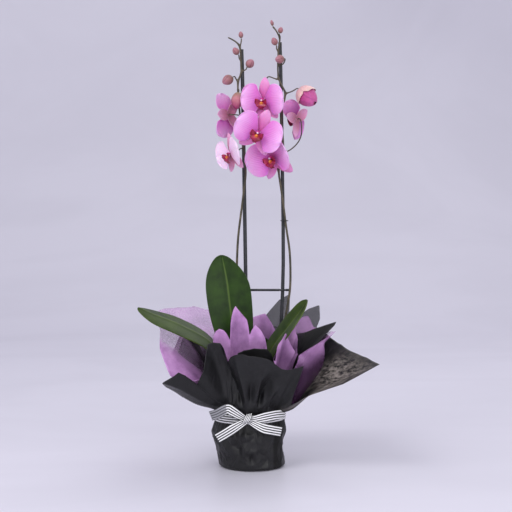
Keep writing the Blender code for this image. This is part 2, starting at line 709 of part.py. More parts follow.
# ---------------------------------------------------------------- assembly
def main():
    clear_scene()
    parts = collection("wrapped_orchid")
    cutters = collection("cutters")
    for layer, (name, slot, ribs) in enumerate(SHEETS):
        wrap_sheet(name, slot, ribs, layer, parts)
    ribbon(parts, cutters)
    pot(parts, cutters)
    stake_lines = stakes(parts)
    bark(parts, cutters, stake_lines)
    crown(parts)
    for name, (line, widths, across) in LEAVES.items():
        leaf(name, line, widths, across, parts)
    brace(parts, cutters)
    clip("clip_left", (-10.6, 15, 540), (-14.4, 6, 540), parts)
    clip("clip_right", (51.9, 15, 385), (55.4, 7.6, 385), parts)
    ends = {}
    for name, values in FLOWERS.items():
        ends[name] = flower(name, *values, parts)
    for name, values in BUDS.items():
        ends[name] = bud(name, *values, parts)
    for name, points in STEMS.items():
        stem(name, points, STALKS[name], ends, parts, cutters)


main()
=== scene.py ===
# %% [markdown]
# # A moth orchid in gift wrapping
# The plant stands in a nursery pot. Two pairs of sheets, each a black one with a lilac one inside
# it, are gathered round the pot and tied with a striped ribbon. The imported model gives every
# piece its place, and this lesson gives each one the shape and the finish that show.
# The model stands with the front towards -Y and its flat bottom on the floor.

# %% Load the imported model
import json
import math

import bmesh
import bpy
from mathutils import Matrix, Vector, noise

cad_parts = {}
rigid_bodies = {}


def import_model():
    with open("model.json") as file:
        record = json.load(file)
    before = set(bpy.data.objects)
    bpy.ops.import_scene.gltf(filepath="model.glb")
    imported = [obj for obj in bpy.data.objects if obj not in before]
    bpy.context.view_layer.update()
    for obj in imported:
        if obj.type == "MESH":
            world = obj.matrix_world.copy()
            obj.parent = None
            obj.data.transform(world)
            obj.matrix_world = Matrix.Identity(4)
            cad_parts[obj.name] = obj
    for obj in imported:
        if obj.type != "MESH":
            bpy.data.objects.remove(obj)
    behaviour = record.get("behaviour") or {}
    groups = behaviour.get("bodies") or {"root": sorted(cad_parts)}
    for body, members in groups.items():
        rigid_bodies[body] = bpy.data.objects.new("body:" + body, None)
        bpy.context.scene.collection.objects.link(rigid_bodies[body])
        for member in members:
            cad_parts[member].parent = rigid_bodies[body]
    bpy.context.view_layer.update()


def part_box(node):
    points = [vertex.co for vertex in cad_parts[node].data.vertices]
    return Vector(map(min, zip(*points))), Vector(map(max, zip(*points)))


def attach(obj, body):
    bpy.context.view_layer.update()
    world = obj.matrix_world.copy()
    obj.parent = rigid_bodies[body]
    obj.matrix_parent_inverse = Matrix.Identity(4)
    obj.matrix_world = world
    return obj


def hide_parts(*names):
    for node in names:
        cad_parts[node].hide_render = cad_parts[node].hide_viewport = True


for item in list(bpy.data.objects):
    bpy.data.objects.remove(item, do_unlink=True)
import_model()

# %% [markdown]
# ## Small helpers
# Most pieces of a plant and its wrapping are thin sheets: petals, leaves, paper, ribbon. Each is
# made the same way. A flat grid is made by one operator, every corner keeps its place on the
# grid as its UV, and a rule then moves the corner to where it belongs. A wall is added last.

# %% Lengths, colours and points along a line
def mm(*values):
    """Millimetres to a point in metres."""
    return Vector(value / 1000.0 for value in values)


def paint(red, green, blue):
    """A colour as a screen shows it, 0 to 1, turned into the shader's linear colour."""
    return tuple(((c + 0.055) / 1.055) ** 2.4 if c > 0.04 else c / 12.92
                 for c in (red, green, blue)) + (1.0,)


def smooth_step(low, high, value):
    """0 up to low, 1 from high on, and a soft rise between them."""
    share = min(max((value - low) / (high - low), 0.0), 1.0)
    return share * share * (3 - 2 * share)


def read_table(table, at):
    """Straight-line reading of rows that start with their position."""
    for low, high in zip(table, table[1:]):
        if low[0] <= at <= high[0]:
            share = (at - low[0]) / (high[0] - low[0])
            return [a + (b - a) * share for a, b in zip(low[1:], high[1:])]
    return list((table[0] if at < table[0][0] else table[-1])[1:])


def smooth_point(points, place):
    """The point at place, 0 to 1, on a smooth curve through the given ones."""
    ends = [2 * points[0] - points[1]] + list(points) + [2 * points[-1] - points[-2]]
    place = min(max(place, 0.0), 1.0) * (len(points) - 1)
    index = min(int(place), len(points) - 2)
    t = place - index
    a, b, c, d = ends[index:index + 4]
    bend = (2 * a - 5 * b + 4 * c - d) * t * t + (3 * b - a - 3 * c + d) * t ** 3
    return (2 * b + (c - a) * t + bend) / 2


# %% Grids, pieces and how they join the model
def grid(columns, rows, place, bm=None):
    """A flat grid whose corners are moved by place(u, v), with u and v from 0 to 1."""
    bm = bm or bmesh.new()
    uv = bm.loops.layers.uv.verify()
    made = bmesh.ops.create_grid(bm, x_segments=columns, y_segments=rows, size=0.5)["verts"]
    for vert in made:
        for loop in vert.link_loops:
            loop[uv].uv = (vert.co.x + 0.5, vert.co.y + 0.5)
    for vert in made:
        vert.co = place(vert.co.x + 0.5, vert.co.y + 0.5)
    return bm


def close_poles(bm):
    """Merge the corners that a pole or a seam brings together."""
    bmesh.ops.remove_doubles(bm, verts=bm.verts, dist=1e-6)
    return bm


def towards(bm, direction):
    """Turn the sheet over if it looks away from the direction."""
    bmesh.ops.recalc_face_normals(bm, faces=bm.faces)
    total = sum((face.normal * face.calc_area() for face in bm.faces), Vector())
    if total.dot(Vector(direction)) < 0:
        bmesh.ops.reverse_faces(bm, faces=bm.faces)
    return bm


def piece(name, bm, finish, slot, stands_for=(), wall=0.0, offset=0.0, levels=0):
    """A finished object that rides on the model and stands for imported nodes."""
    data = bpy.data.meshes.new(name)
    bm.to_mesh(data)
    bm.free()
    data.materials.append(finish)
    data.shade_smooth()
    made = bpy.data.objects.new(name, data)
    bpy.context.scene.collection.objects.link(made)
    if wall:
        solidify = made.modifiers.new("wall", "SOLIDIFY")
        solidify.thickness = wall
        solidify.offset = offset
    if levels:
        rounding = made.modifiers.new("rounding", "SUBSURF")
        rounding.levels = levels
        rounding.render_levels = levels
    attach(made, "root")
    if stands_for:
        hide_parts(*stands_for)
    print(name, len(data.polygons), "faces")
    return made


# %% [markdown]
# ## Helpers for finishes
# A finish is a small graph of nodes that ends in one shader. Short helpers keep the graphs
# readable: one adds a node and fills its sockets, and the others each make one kind of node,
# such as a blend of two colours, a ramp from a number to a colour, or a sum.

# %% Material helpers
def new_finish(name, roughness, **plain):
    """A material with its uniform numbers on the shader's own sockets."""
    made = bpy.data.materials.new(name)
    made.use_nodes = True
    shader = made.node_tree.nodes["Principled BSDF"]
    shader.inputs["Roughness"].default_value = roughness
    for socket, value in plain.items():
        shader.inputs[socket.replace("_", " ")].default_value = value
    print("finish", name)
    return made, made.node_tree, shader


def add(tree, kind, inputs=(), **settings):
    """A node with its settings, and its sockets filled by numbers or by other sockets."""
    made = tree.nodes.new(kind)
    for name, value in settings.items():
        setattr(made, name, value)
    for key, value in dict(inputs).items():
        if isinstance(value, bpy.types.NodeSocket):
            tree.links.new(value, made.inputs[key])
        else:
            made.inputs[key].default_value = value
    return made


def blend(tree, share, first, second):
    """Blend two colours; share may be a number or a socket."""
    return add(tree, "ShaderNodeMix", {0: share, 6: first, 7: second}, data_type="RGBA").outputs[2]


def ramp(tree, value, *stops):
    """A number to a colour, or to a grey, through stops of (position, colour or grey)."""
    made = add(tree, "ShaderNodeValToRGB", {"Fac": value})
    for index, (position, colour) in enumerate(stops):
        if index < 2:
            stop = made.color_ramp.elements[index]
        else:
            stop = made.color_ramp.elements.new(position)
        stop.position = position
        stop.color = colour if isinstance(colour, tuple) else (colour, colour, colour, 1.0)
    return made.outputs["Color"]


def sums(tree, how, first, second=0.0, third=0.0):
    """One sum; MULTIPLY_ADD is first * second + third."""
    made = add(tree, "ShaderNodeMath", {0: first, 1: second, 2: third}, operation=how)
    return made.outputs[0]


def own_place(tree, scale=(1.0, 1.0, 1.0), source="Object"):
    """Coordinates on the piece itself, stretched by scale."""
    place = add(tree, "ShaderNodeTexCoord").outputs[source]
    return add(tree, "ShaderNodeMapping", {"Vector": place, "Scale": scale}).outputs[0]


def speckle(tree, place, scale, detail=3.0, rough=0.55):
    """Soft noise from 0 to 1."""
    return add(tree, "ShaderNodeTexNoise", {"Vector": place, "Scale": scale, "Detail": detail,
                                            "Roughness": rough}).outputs["Fac"]


def own_grid(tree):
    """Where a spot lies on its piece's own grid: u and v, each from 0 to 1."""
    place = add(tree, "ShaderNodeTexCoord").outputs["UV"]
    return add(tree, "ShaderNodeSeparateXYZ", {0: place}).outputs[:2]


def bump(tree, shader, height, strength, distance):
    """A relief from a number, with its full height as a distance in metres."""
    made = add(tree, "ShaderNodeBump", {"Height": height, "Strength": strength,
                                        "Distance": distance})
    tree.links.new(made.outputs[0], shader.inputs["Normal"])


def attribute(tree, name):
    """A number that is stored on the piece's corners."""
    return add(tree, "ShaderNodeAttribute", attribute_name=name).outputs["Fac"]


# %% [markdown]
# ## Camera, floor and light
# The floor and the wall behind are one pale sweep, so that no hard corner shows behind the
# plant. A large lamp above and to the left gives soft shadows, two weaker ones lift the front
# and the back, and the sky fills the rest.

# %% Camera
CAMERA_PLACE = (0.0094, -2.0, 0.45)
CAMERA_TILT = 90 - 3.43
CAMERA_LENS = 90.14
camera_data = bpy.data.cameras.new("camera")
camera_data.lens = CAMERA_LENS
camera_data.sensor_width = 36.0
camera = bpy.data.objects.new("camera", camera_data)
camera.location = CAMERA_PLACE
camera.rotation_euler = (math.radians(CAMERA_TILT), 0.0, 0.0)
bpy.context.scene.collection.objects.link(camera)
bpy.context.scene.camera = camera
print("camera at", CAMERA_PLACE)

# %% Floor and backdrop in one sweep
SWEEP_WIDE = 14.0
SWEEP_LONG = 9.0
SWEEP_START = -4.0                           # the floor's near edge
SWEEP_FLAT = 1.6                             # where the floor starts to bend up
SWEEP_BEND = 1.2                             # the bend's radius


def sweep_place(u, v):
    run = v * SWEEP_LONG + SWEEP_START
    x = (u - 0.5) * SWEEP_WIDE
    if run < SWEEP_FLAT:
        return Vector((x, run, 0.0))
    turn = min((run - SWEEP_FLAT) / SWEEP_BEND, math.pi / 2)
    rise = max(run - SWEEP_FLAT - SWEEP_BEND * math.pi / 2, 0.0)
    return Vector((x, SWEEP_FLAT + SWEEP_BEND * math.sin(turn),
                   SWEEP_BEND * (1 - math.cos(turn)) + rise))


floor_finish, tree, shader = new_finish("pale_stone", 0.42)
place = own_place(tree, (1.0, 2.2, 1.0))
wander = add(tree, "ShaderNodeTexNoise", {"Vector": place, "Scale": 1.3, "Detail": 6.0,
                                          "Distortion": 1.2}).outputs["Fac"]
veins = ramp(tree, wander, (0.40, paint(0.835, 0.825, 0.870)), (0.60, paint(0.850, 0.840, 0.885)))
tree.links.new(veins, shader.inputs["Base Color"])
floor_data = bpy.data.meshes.new("floor")
grid(8, 90, sweep_place).to_mesh(floor_data)
floor_data.materials.append(floor_finish)
floor_data.shade_smooth()
floor = bpy.data.objects.new("floor", floor_data)
bpy.context.scene.collection.objects.link(floor)
print("floor", len(floor_data.polygons), "faces")

# %% Lamps
SKY_COLOUR = (0.80, 0.80, 0.88, 1.0)
SKY_STRENGTH = 0.75


def lamp(name, place, target, size, power):
    """A square lamp that looks at its target; sizes in metres, power in watts."""
    data = bpy.data.lights.new(name, "AREA")
    data.size = size
    data.energy = power
    made = bpy.data.objects.new(name, data)
    made.location = place
    made.rotation_euler = (Vector(target) - Vector(place)).to_track_quat("-Z", "Y").to_euler()
    bpy.context.scene.collection.objects.link(made)
    print("lamp", name, power, "watts")


lamp("key", (-1.3, -1.6, 2.1), (0, 0, 0.30), 1.2, 34)
lamp("front", (0.9, -2.6, 1.2), (0, 0, 0.35), 1.6, 22)
lamp("back", (0.8, 1.0, 1.9), (0, 0.2, 0.30), 1.4, 12)
sky = bpy.data.worlds.new("sky")
sky.use_nodes = True
sky_light = sky.node_tree.nodes["Background"]
sky_light.inputs["Color"].default_value = SKY_COLOUR
sky_light.inputs["Strength"].default_value = SKY_STRENGTH
bpy.context.scene.world = sky
bpy.context.scene.view_settings.view_transform = "Standard"

# %% [markdown]
# ## The wrapping sheets
# Each sheet is one square of paper: its middle lies under the pot, its sides go up round it,
# the ribbon pulls it in, and its corners and edges flare out above. So the sheet is one grid
# wrapped round the pot, from the middle of the bottom out to the cut edge. A list of ribs says
# how far out and how high the cut edge is at each angle, and the paper runs straight between
# ribs, as folded paper does. The black and lilac sheets take turns from the outside in, and
# every sheet is a little smaller than the one outside it.

# %% The sheets' common body
BLACK_OUTER, LILAC_OUTER, BLACK_INNER, LILAC_INNER = range(4)    # the layers, outside first
band_low, band_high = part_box("ribbon_band")
RIBBON_GAP = 0.0012                          # the ribbon's wall and its clearance
NECK_R = band_high.x - RIBBON_GAP
NECK_LOW_Z = band_low.z - 0.0025
NECK_HIGH_Z = band_high.z + 0.0025
BASE_R = NECK_R - 0.0033
BELLY_R = NECK_R + 0.0037
BELLY_Z = 0.056
SHOULDER_R = NECK_R + 0.0050
SHOULDER_Z = 0.106
SHOULDER_WAY = 0.86                          # the body's rows as far as the shoulder
SHEET_STEP = 0.0012                          # from one sheet to the next one inside it
SHEET_WALL = 0.0003
FLARE_STAND = 0.45                           # a free sheet rises this much before it leans out
# The way up from the middle of the bottom: share of the way, radius and height.
BODY = [(0.0, 0.0, 0.0), (0.06, BASE_R - 0.004, 0.0), (0.09, BASE_R, 0.003),
        (0.50, BELLY_R, BELLY_Z), (0.62, NECK_R, NECK_LOW_Z), (0.72, NECK_R, NECK_HIGH_Z),
        (SHOULDER_WAY, SHOULDER_R, SHOULDER_Z)]
BODY_SHARE = 0.50                            # of the grid's rows, the rest are the free paper
print("neck radius", round(NECK_R, 4))

# %% The cut edges
# Each rib: angle in degrees with -90 at the front, reach and height in millimetres, and how
# the paper gets there: 1 goes straight, 2 stands up first and then leans out, and less than 1
# leans out first.
EDGES = {
    "wrap_black_outer": [
        (-180, 104, 138, 1.6), (-162, 100, 125, 1.6), (-153, 106, 124, 1.4),
        (-147, 128, 131, 1.2), (-141, 160, 140, 1.1), (-133, 188, 152, 1.0),
        (-132, 168, 160, 1.0), (-131, 158, 166, 1.0), (-128.6, 126, 144, 1.1),
        (-127.7, 113, 163, 1.4), (-126.9, 110, 191, 1.7), (-126, 108, 203, 1.8),
        (-123, 103, 207, 1.8), (-118, 96, 205, 1.8), (-115.6, 92, 196, 1.8),
        (-114, 90, 179, 1.8), (-112, 90, 175, 1.8), (-107, 96, 183, 1.6),
        (-101, 103, 188, 1.5), (-96, 105, 190, 1.4), (-91, 105, 188, 1.3),
        (-86, 105, 187, 1.4), (-81, 106, 185, 1.4), (-76, 105, 181, 1.5),
        (-71, 104, 176, 1.5), (-66, 105, 172, 1.4), (-58, 110, 166, 1.3), (-54, 118, 167, 1.2),
        (-50.5, 126, 170, 1.1), (-49.5, 112, 148, 1.1), (-48.5, 93, 116, 1.2),
        (-45, 110, 120, 1.1), (-40, 146, 134, 1.0), (-36, 174, 146, 1.0), (-30, 224, 177, 1.0),
        (-26, 204, 178, 1.0), (-22, 184, 181, 1.1), (-16, 161, 188, 1.3), (-8, 142, 194, 1.5),
        (4, 130, 201, 1.6), (14, 124, 204, 1.7), (28, 124, 206, 1.7), (34, 132, 212, 1.7),
        (38, 146, 223, 1.6), (44, 158, 242, 1.6), (50, 150, 236, 1.6), (56, 140, 222, 1.7),
        (64, 122, 202, 1.8), (90, 110, 170, 1.8), (120, 120, 168, 1.8), (140, 150, 196, 1.6),
        (160, 134, 170, 1.6), (180, 104, 138, 1.6)],
    "wrap_lilac_outer": [
        (-180, 142, 214, 1.9), (-172, 142, 200, 1.9), (-164, 141, 180, 1.8),
        (-156, 139, 160, 1.7), (-150, 141, 154, 1.6), (-145, 141, 151, 1.5),
        (-139, 133, 148, 1.5), (-134, 120, 148, 1.5), (-130, 96, 150, 1.7), (-128, 74, 147, 1.9),
        (-125, 65, 144, 2), (-118, 64, 142, 2), (-108, 65, 148, 2), (-100, 71, 150, 2),
        (-80, 73, 146, 2), (-70, 64, 130, 2), (-62, 62, 120, 2), (-54, 64, 118, 2),
        (-50, 78, 138, 1.6), (-47, 102, 168, 1.0), (-41, 99, 183, 0.7), (-33, 106, 192, 0.8),
        (-24, 118, 201, 1.0), (-15, 130, 210, 1.3), (-8, 135, 214, 1.5), (0, 130, 213, 1.6),
        (8, 124, 210, 1.7), (16, 116, 209, 1.9), (26, 114, 214, 1.9), (33, 118, 224, 1.9),
        (38, 120, 230, 1.9), (46, 114, 222, 1.9), (57, 102, 214, 2), (76, 90, 206, 2),
        (96, 88, 214, 2), (110, 92, 222, 2), (118, 104, 235, 2), (148, 141, 244, 1.9),
        (158, 146, 243, 1.9), (168, 148, 240, 1.9), (174, 146, 228, 1.9), (180, 142, 214, 1.9)],
    "wrap_black_inner": [
        (-180, 84, 196, 2), (-172, 98, 205, 2), (-166, 107, 202, 2), (-158, 121, 186, 2),
        (-152, 112, 176, 2), (-146, 98, 166, 2), (-140, 82, 156, 2), (-132, 64, 140, 2),
        (-126, 61, 138, 2), (-118, 60, 138, 2), (-107, 60, 144, 2), (-104, 76, 176, 2),
        (-102, 86, 188, 2), (-96, 85, 193, 2), (-85, 84, 196, 2), (-73, 86, 194, 2),
        (-67, 86, 186, 2), (-62, 84, 175, 2), (-58, 74, 152, 2), (-54, 68, 138, 2),
        (-46, 66, 138, 2), (-36, 70, 144, 2), (-28, 76, 154, 2), (-20, 86, 168, 2),
        (-10, 102, 189, 2), (-2, 118, 207, 2), (5, 135, 221, 2), (9, 139, 225, 2),
        (16, 113, 213, 2), (24, 98, 206, 2), (35, 90, 203, 2), (48, 90, 206, 2),
        (58, 124, 262, 2), (66, 118, 252, 2), (76, 88, 222, 2), (90, 72, 190, 2),
        (110, 70, 172, 2), (140, 74, 176, 2), (160, 78, 182, 2), (180, 84, 196, 2)],
    "wrap_lilac_inner": [
        (-180, 66, 178, 2), (-158, 70, 168, 2), (-152, 68, 186, 2), (-147, 67, 206, 2),
        (-142, 66, 217, 2), (-136, 65, 221, 2), (-130, 63, 219, 2), (-125, 62, 213, 2),
        (-121.7, 61, 204, 2), (-120.8, 60.5, 230, 2), (-119, 60, 241, 2), (-116, 60, 250, 2),
        (-111.6, 60, 257, 2), (-104, 60, 249, 2), (-94, 60, 236, 2), (-91.5, 60, 222, 2),
        (-90.5, 60, 212, 2), (-87, 61, 221, 2), (-82, 62, 229, 2), (-75, 62, 221, 2),
        (-68, 62, 208, 2),
        (-63, 62, 190, 2), (-58, 62, 176, 2), (-54, 63, 172, 2), (-51, 66, 196, 2),
        (-46, 70, 208, 2), (-42, 72, 214, 2), (-38, 73, 213, 2), (-32, 73, 203, 2),
        (-26, 73, 190, 2), (-20, 74, 176, 2), (0, 76, 178, 2), (20, 76, 205, 2),
        (30, 82, 229, 2), (50, 70, 200, 2), (70, 73, 233, 2), (90, 64, 226, 2),
        (110, 64, 224, 2), (130, 66, 205, 2), (150, 66, 190, 2), (180, 66, 178, 2)],
}
print("ribs", {name: len(ribs) for name, ribs in EDGES.items()})

# %% Dents and pleats on the pot's side
DENTS_ROUND = 2.3                            # dents round the pot, for each radian
DENT_TALL = 0.026
DENT_CAP = 0.9                               # flattens the middle of a wide dent
PLEATS = 15
FINE_PLEATS = 41
PLEAT_SIZE = 0.0004                          # under the ribbon and just below it
FINE_PLEAT_SIZE = 0.0007


def creased(angle, height):
    """Dents between sharp ridges: 0 on a ridge and about 1 in the middle of a dent."""
    spot = Vector((math.cos(angle) * DENTS_ROUND, math.sin(angle) * DENTS_ROUND,
                   height / DENT_TALL))
    near = noise.voronoi(spot)[0]
    small = noise.voronoi(spot * 2.3 + Vector((5.0, 1.0, 2.0)))[0]
    return min(near[1] - near[0], DENT_CAP) + 0.30 * min(small[1] - small[0], DENT_CAP)


def pleated(angle, count, phase):
    """Sharp pleats round the pot, from -1 to 1."""
    drift = angle + 0.10 * math.sin(3 * angle + 1.0) + 0.05 * math.sin(7 * angle + 2.0)
    return 1 - 2 * abs(math.sin(count * drift / 2 + phase)) ** 0.8


# %% Folds and sagging wings above the ribbon
# Each sharp fold: angle at the neck, angle at the cut edge, half width in degrees, and height
# of the fold in millimetres (below 0 is a valley).
FOLDS = [
    (-95, -122, 9, -8.0), (-92, -104, 8, 5.5), (-88, -90, 6, -3.0), (-86, -74, 9, 6.0),
    (-82, -60, 9, -8.5), (-76, -46, 10, 6.5), (-118, -136, 9, 3.5), (-132, -152, 9, -4.0),
    (-60, -34, 8, -3.5), (-48, -20, 7, 3.0), (-30, -8, 8, -3.5), (-150, -170, 9, 3.0),
    (5, 14, 9, 3.5), (34, 42, 9, -4.0), (60, 62, 8, 3.5), (95, 92, 10, -4.0),
    (128, 134, 9, 3.5), (158, 152, 9, -3.5),
]
FOLD_RUN = 0.110                             # the way from the neck to the cut edge
# Where a wing's root hangs down: its angle, half width, depth, and from where to where it fades.
WING_SAGS = [(-38, 19, 0.017, 0.075, 0.125), (-145, 16, 0.015, 0.100, 0.180)]


def folded(angle, above):
    """The sum of the sharp folds at an angle and a way up from the neck."""
    total = 0.0
    share = min(above / FOLD_RUN, 1.0)
    for start, end, half, size in FOLDS:
        middle = start + (end - start) * share ** 0.7
        off = abs((math.degrees(angle) - middle + 180) % 360 - 180)
        if off < half:
            total += size / 1000.0 * (1 - off / half) ** 1.3
    return total * smooth_step(0.002, 0.035, above) * (1 - 0.6 * smooth_step(0.06, 0.11, above))


def wing_sag(angle, radius, up):
    """How far the roots of the two wings hang over the ribbon."""
    total = 0.0
    for middle, half, size, full, end in WING_SAGS:
        round_wing = math.exp(-((math.degrees(angle) - middle) / half) ** 2)
        total += size * round_wing * (1 - smooth_step(full, end, radius))
    return total * smooth_step(NECK_R, NECK_R + 0.006, radius) * (1 - smooth_step(0.115, 0.160, up))


# %% One warp for all four sheets, so that they stay nested
DENT_DEPTH = 0.0055
# A hollow at the right and a bulge at the left: size, angle and its spread, height and its spread.
PINCH = (0.0065, 0.05, 0.35, 0.034, 0.016)
BULGE = (0.0030, 3.0, 0.6, 0.056, 0.014)
RIDGE_SIZE = 0.0030                          # one upright crease at the front
RIDGE_AT = -98                               # degrees
RIDGE_HALF = 0.16                            # radians
FOOT_LEAN = 0.0030                           # the foot stands this far to the right
TIE_RUN = 0.028                              # the dents end over this much below the ribbon
SWELL_MOST = 0.0022                          # wide pleats of the free paper
RIPPLE_MOST = 0.0012                         # fine pleats of the free paper
WAVER = 0.0016                               # uneven paper


def mound(angle, up, shape):
    """A soft hollow or bulge round one spot of the pot's side."""
    size, at_angle, wide, at_height, tall = shape
    return size * math.exp(-((angle - at_angle) / wide) ** 2 - ((up - at_height) / tall) ** 2)


def side_moved(point, outward, angle, pleats):
    """A point on the pot's side, below the ribbon, moved by dents, hollows and pleats."""
    up = point.z
    grip = smooth_step(0.001, 0.014, up)
    tie = smooth_step(NECK_LOW_Z - TIE_RUN, NECK_LOW_Z, up)
    dent = DENT_DEPTH * creased(angle, up) * (1 - tie) * smooth_step(0.0, 0.02, up)
    ridge_at = math.radians(RIDGE_AT + 3 * math.sin(up * 160))
    ridge = RIDGE_SIZE * max(1 - abs(angle - ridge_at) / RIDGE_HALF, 0.0) * (1 - tie)
    lumps = mound(abs(angle), up, BULGE) + ridge - dent - mound(angle, up, PINCH)
    point = point + outward * grip * (tie * pleats + lumps)
    point.x += FOOT_LEAN * (1 - smooth_step(0.0, 0.045, up))
    return point


def gathered(point):
    """Moves a point of the plain wrapping to where the gathers put it."""
    radius = math.hypot(point.x, point.y)
    if radius < 1e-6:
        return point
    angle = math.atan2(point.y, point.x)
    outward = Vector((point.x / radius, point.y / radius, 0.0))
    wide = pleated(angle, PLEATS, 0.4)
    fine = pleated(angle, FINE_PLEATS, 1.1)
    pleats = FINE_PLEAT_SIZE * (fine - 1) + PLEAT_SIZE * (wide - 1)
    up = point.z
    if up < NECK_LOW_Z:
        return side_moved(point, outward, angle, pleats)
    if up < NECK_HIGH_Z:
        return point + outward * pleats
    above = math.hypot(radius - NECK_R, up - NECK_HIGH_Z)
    calm = 0.4 + 0.6 * smooth_step(0.2, 0.9, abs(math.sin(angle / 2 + 0.785)))
    swell = min(0.070 * above, SWELL_MOST) * calm
    ripple = min(0.050 * above, RIPPLE_MOST) * (1 - smooth_step(0.03, 0.08, above))
    rise = Vector((0, 0, 1)) * smooth_step(0.01, 0.06, radius - NECK_R)
    way = (outward + rise).normalized()
    waver = WAVER * noise.noise(Vector((angle * 4, up * 34, radius * 34)))
    lift = swell * wide + ripple * fine + folded(angle, above) + min(above * 0.05, 1) * waver
    held = FINE_PLEAT_SIZE * (fine - 1) * (1 - smooth_step(0.0, 0.01, above))
    point = point + way * lift + outward * held
    point.z -= wing_sag(angle, radius, up)
    return point


# %% Where each corner of a sheet goes
LAID_ON_WING = 0.027                         # how far the outer lilac sheet spreads on the wing
LAID_TURNS = (-38, -24, 8)                   # from and to in degrees, and how soft the ends are


def between(low, high, soft, value):
    """1 from low to high, with soft ends."""
    return smooth_step(low - soft, low, value) * (1 - smooth_step(high, high + soft, value))


def sheet_place(edges, layer):
    """Round the pot with u, and from the middle of the bottom to the cut edge with v."""
    inset = layer * SHEET_STEP

    def place(u, v):
        turn = u * 360.0 - 180.0
        angle = math.radians(turn)
        if v <= BODY_SHARE:
            radius, height = read_table(BODY, SHOULDER_WAY * v / BODY_SHARE)
            radius = max(radius - inset * smooth_step(0.0, BASE_R, radius), 0.0)
            height = max(height, inset)
        else:
            reach, top, lean = read_table(edges, turn)
            t = (v - BODY_SHARE) / (1 - BODY_SHARE)
            start = SHOULDER_R - inset
            radius = start + (reach / 1000.0 - start) * t ** lean
            if layer == LILAC_OUTER:
                radius += LAID_ON_WING * between(*LAID_TURNS, turn) * 4 * t * (1 - t)
            stand = 2 * FLARE_STAND * t * (1 - t) + t * t
            rise = t + (stand - t) * (lean - 1)
            height = SHOULDER_Z + (top / 1000.0 - SHOULDER_Z) * rise
        return gathered(Vector((radius * math.cos(angle), radius * math.sin(angle), height)))
    return place


# %% [markdown]
# ## Paper finishes
# The black sheets are non-woven fabric: long fibres pressed into a thin felt. Where the wrap lies
# deep in shade it is painted nearly black. Where one layer stands free some light comes through
# between fibres, and it is also painted as a greyer colour. The lilac sheets are tissue: paler
# where one layer stands free, with painted shade where they lie in the wrap's depths. So each
# sheet stores four numbers on its corners: how much shows through, how much painted shade it
# gets, how far pressed streaks are painted as lit, and how crumpled it is. The finishes read
# them, and their fibres follow the sheet's own UV.

# %% Black non-woven fabric
BLACK_ROUGHNESS = 0.46


def black_paper():
    made, tree, shader = new_finish("black_nonwoven", BLACK_ROUGHNESS, Specular_IOR_Level=0.46)
    shaded = attribute(tree, "shaded")
    duller = sums(tree, "MULTIPLY_ADD", shaded, 0.36, BLACK_ROUGHNESS)
    tree.links.new(duller, shader.inputs["Roughness"])
    fibres = speckle(tree, own_place(tree, (64.0, 13.0, 1.0), "UV"), 2.6, 6.0, 0.75)
    mesh = speckle(tree, own_place(tree, (40.0, 70.0, 1.0), "UV"), 9.0, 3.0, 0.6)
    felt = speckle(tree, own_place(tree), 900.0, 2.0)
    clouds = speckle(tree, own_place(tree), 38.0, 4.0)
    tone = ramp(tree, clouds, (0.32, paint(0.030, 0.030, 0.036)),
                (0.70, paint(0.070, 0.070, 0.080)))
    # painted shade: the colour goes nearly black where the sheet lies in the wrap's depths
    tone = blend(tree, shaded, tone, paint(0.020, 0.018, 0.020))
    # painted light: along the right wing's pressed streaks the colour is painted pale, as light
    # coming through them; a little of it is also see-through
    streaks = ramp(tree, fibres, (0.42, 0.0), (0.60, 1.0))
    band = sums(tree, "MULTIPLY", attribute(tree, "lit"), streaks)
    colour = blend(tree, band, tone, paint(0.62, 0.58, 0.55))
    sheer = attribute(tree, "thin")
    # painted light: where one layer stands free the black is painted greyer, as light coming
    # through it
    colour = blend(tree, sums(tree, "MULTIPLY", sheer, 0.5), colour, paint(0.24, 0.23, 0.25))
    tree.links.new(colour, shader.inputs["Base Color"])
    holes = sums(tree, "MULTIPLY_ADD", mesh, 0.9, 0.10)
    lost = sums(tree, "ADD", sums(tree, "MULTIPLY", sheer, holes),
                sums(tree, "MULTIPLY", band, 0.25))
    tree.links.new(sums(tree, "SUBTRACT", 1.0, lost), shader.inputs["Alpha"])
    facets = add(tree, "ShaderNodeTexVoronoi", {"Vector": own_place(tree, (1.0, 1.0, 0.7)),
                                                "Scale": 40.0},
                 feature="DISTANCE_TO_EDGE").outputs["Distance"]
    crumple = sums(tree, "MULTIPLY", attribute(tree, "crush"), sums(tree, "MINIMUM", facets, 0.5))
    nap = sums(tree, "MULTIPLY_ADD", felt, 0.03, sums(tree, "MULTIPLY", fibres, 0.04))
    bump(tree, shader, sums(tree, "ADD", crumple, nap), 0.8, 0.010)
    return made


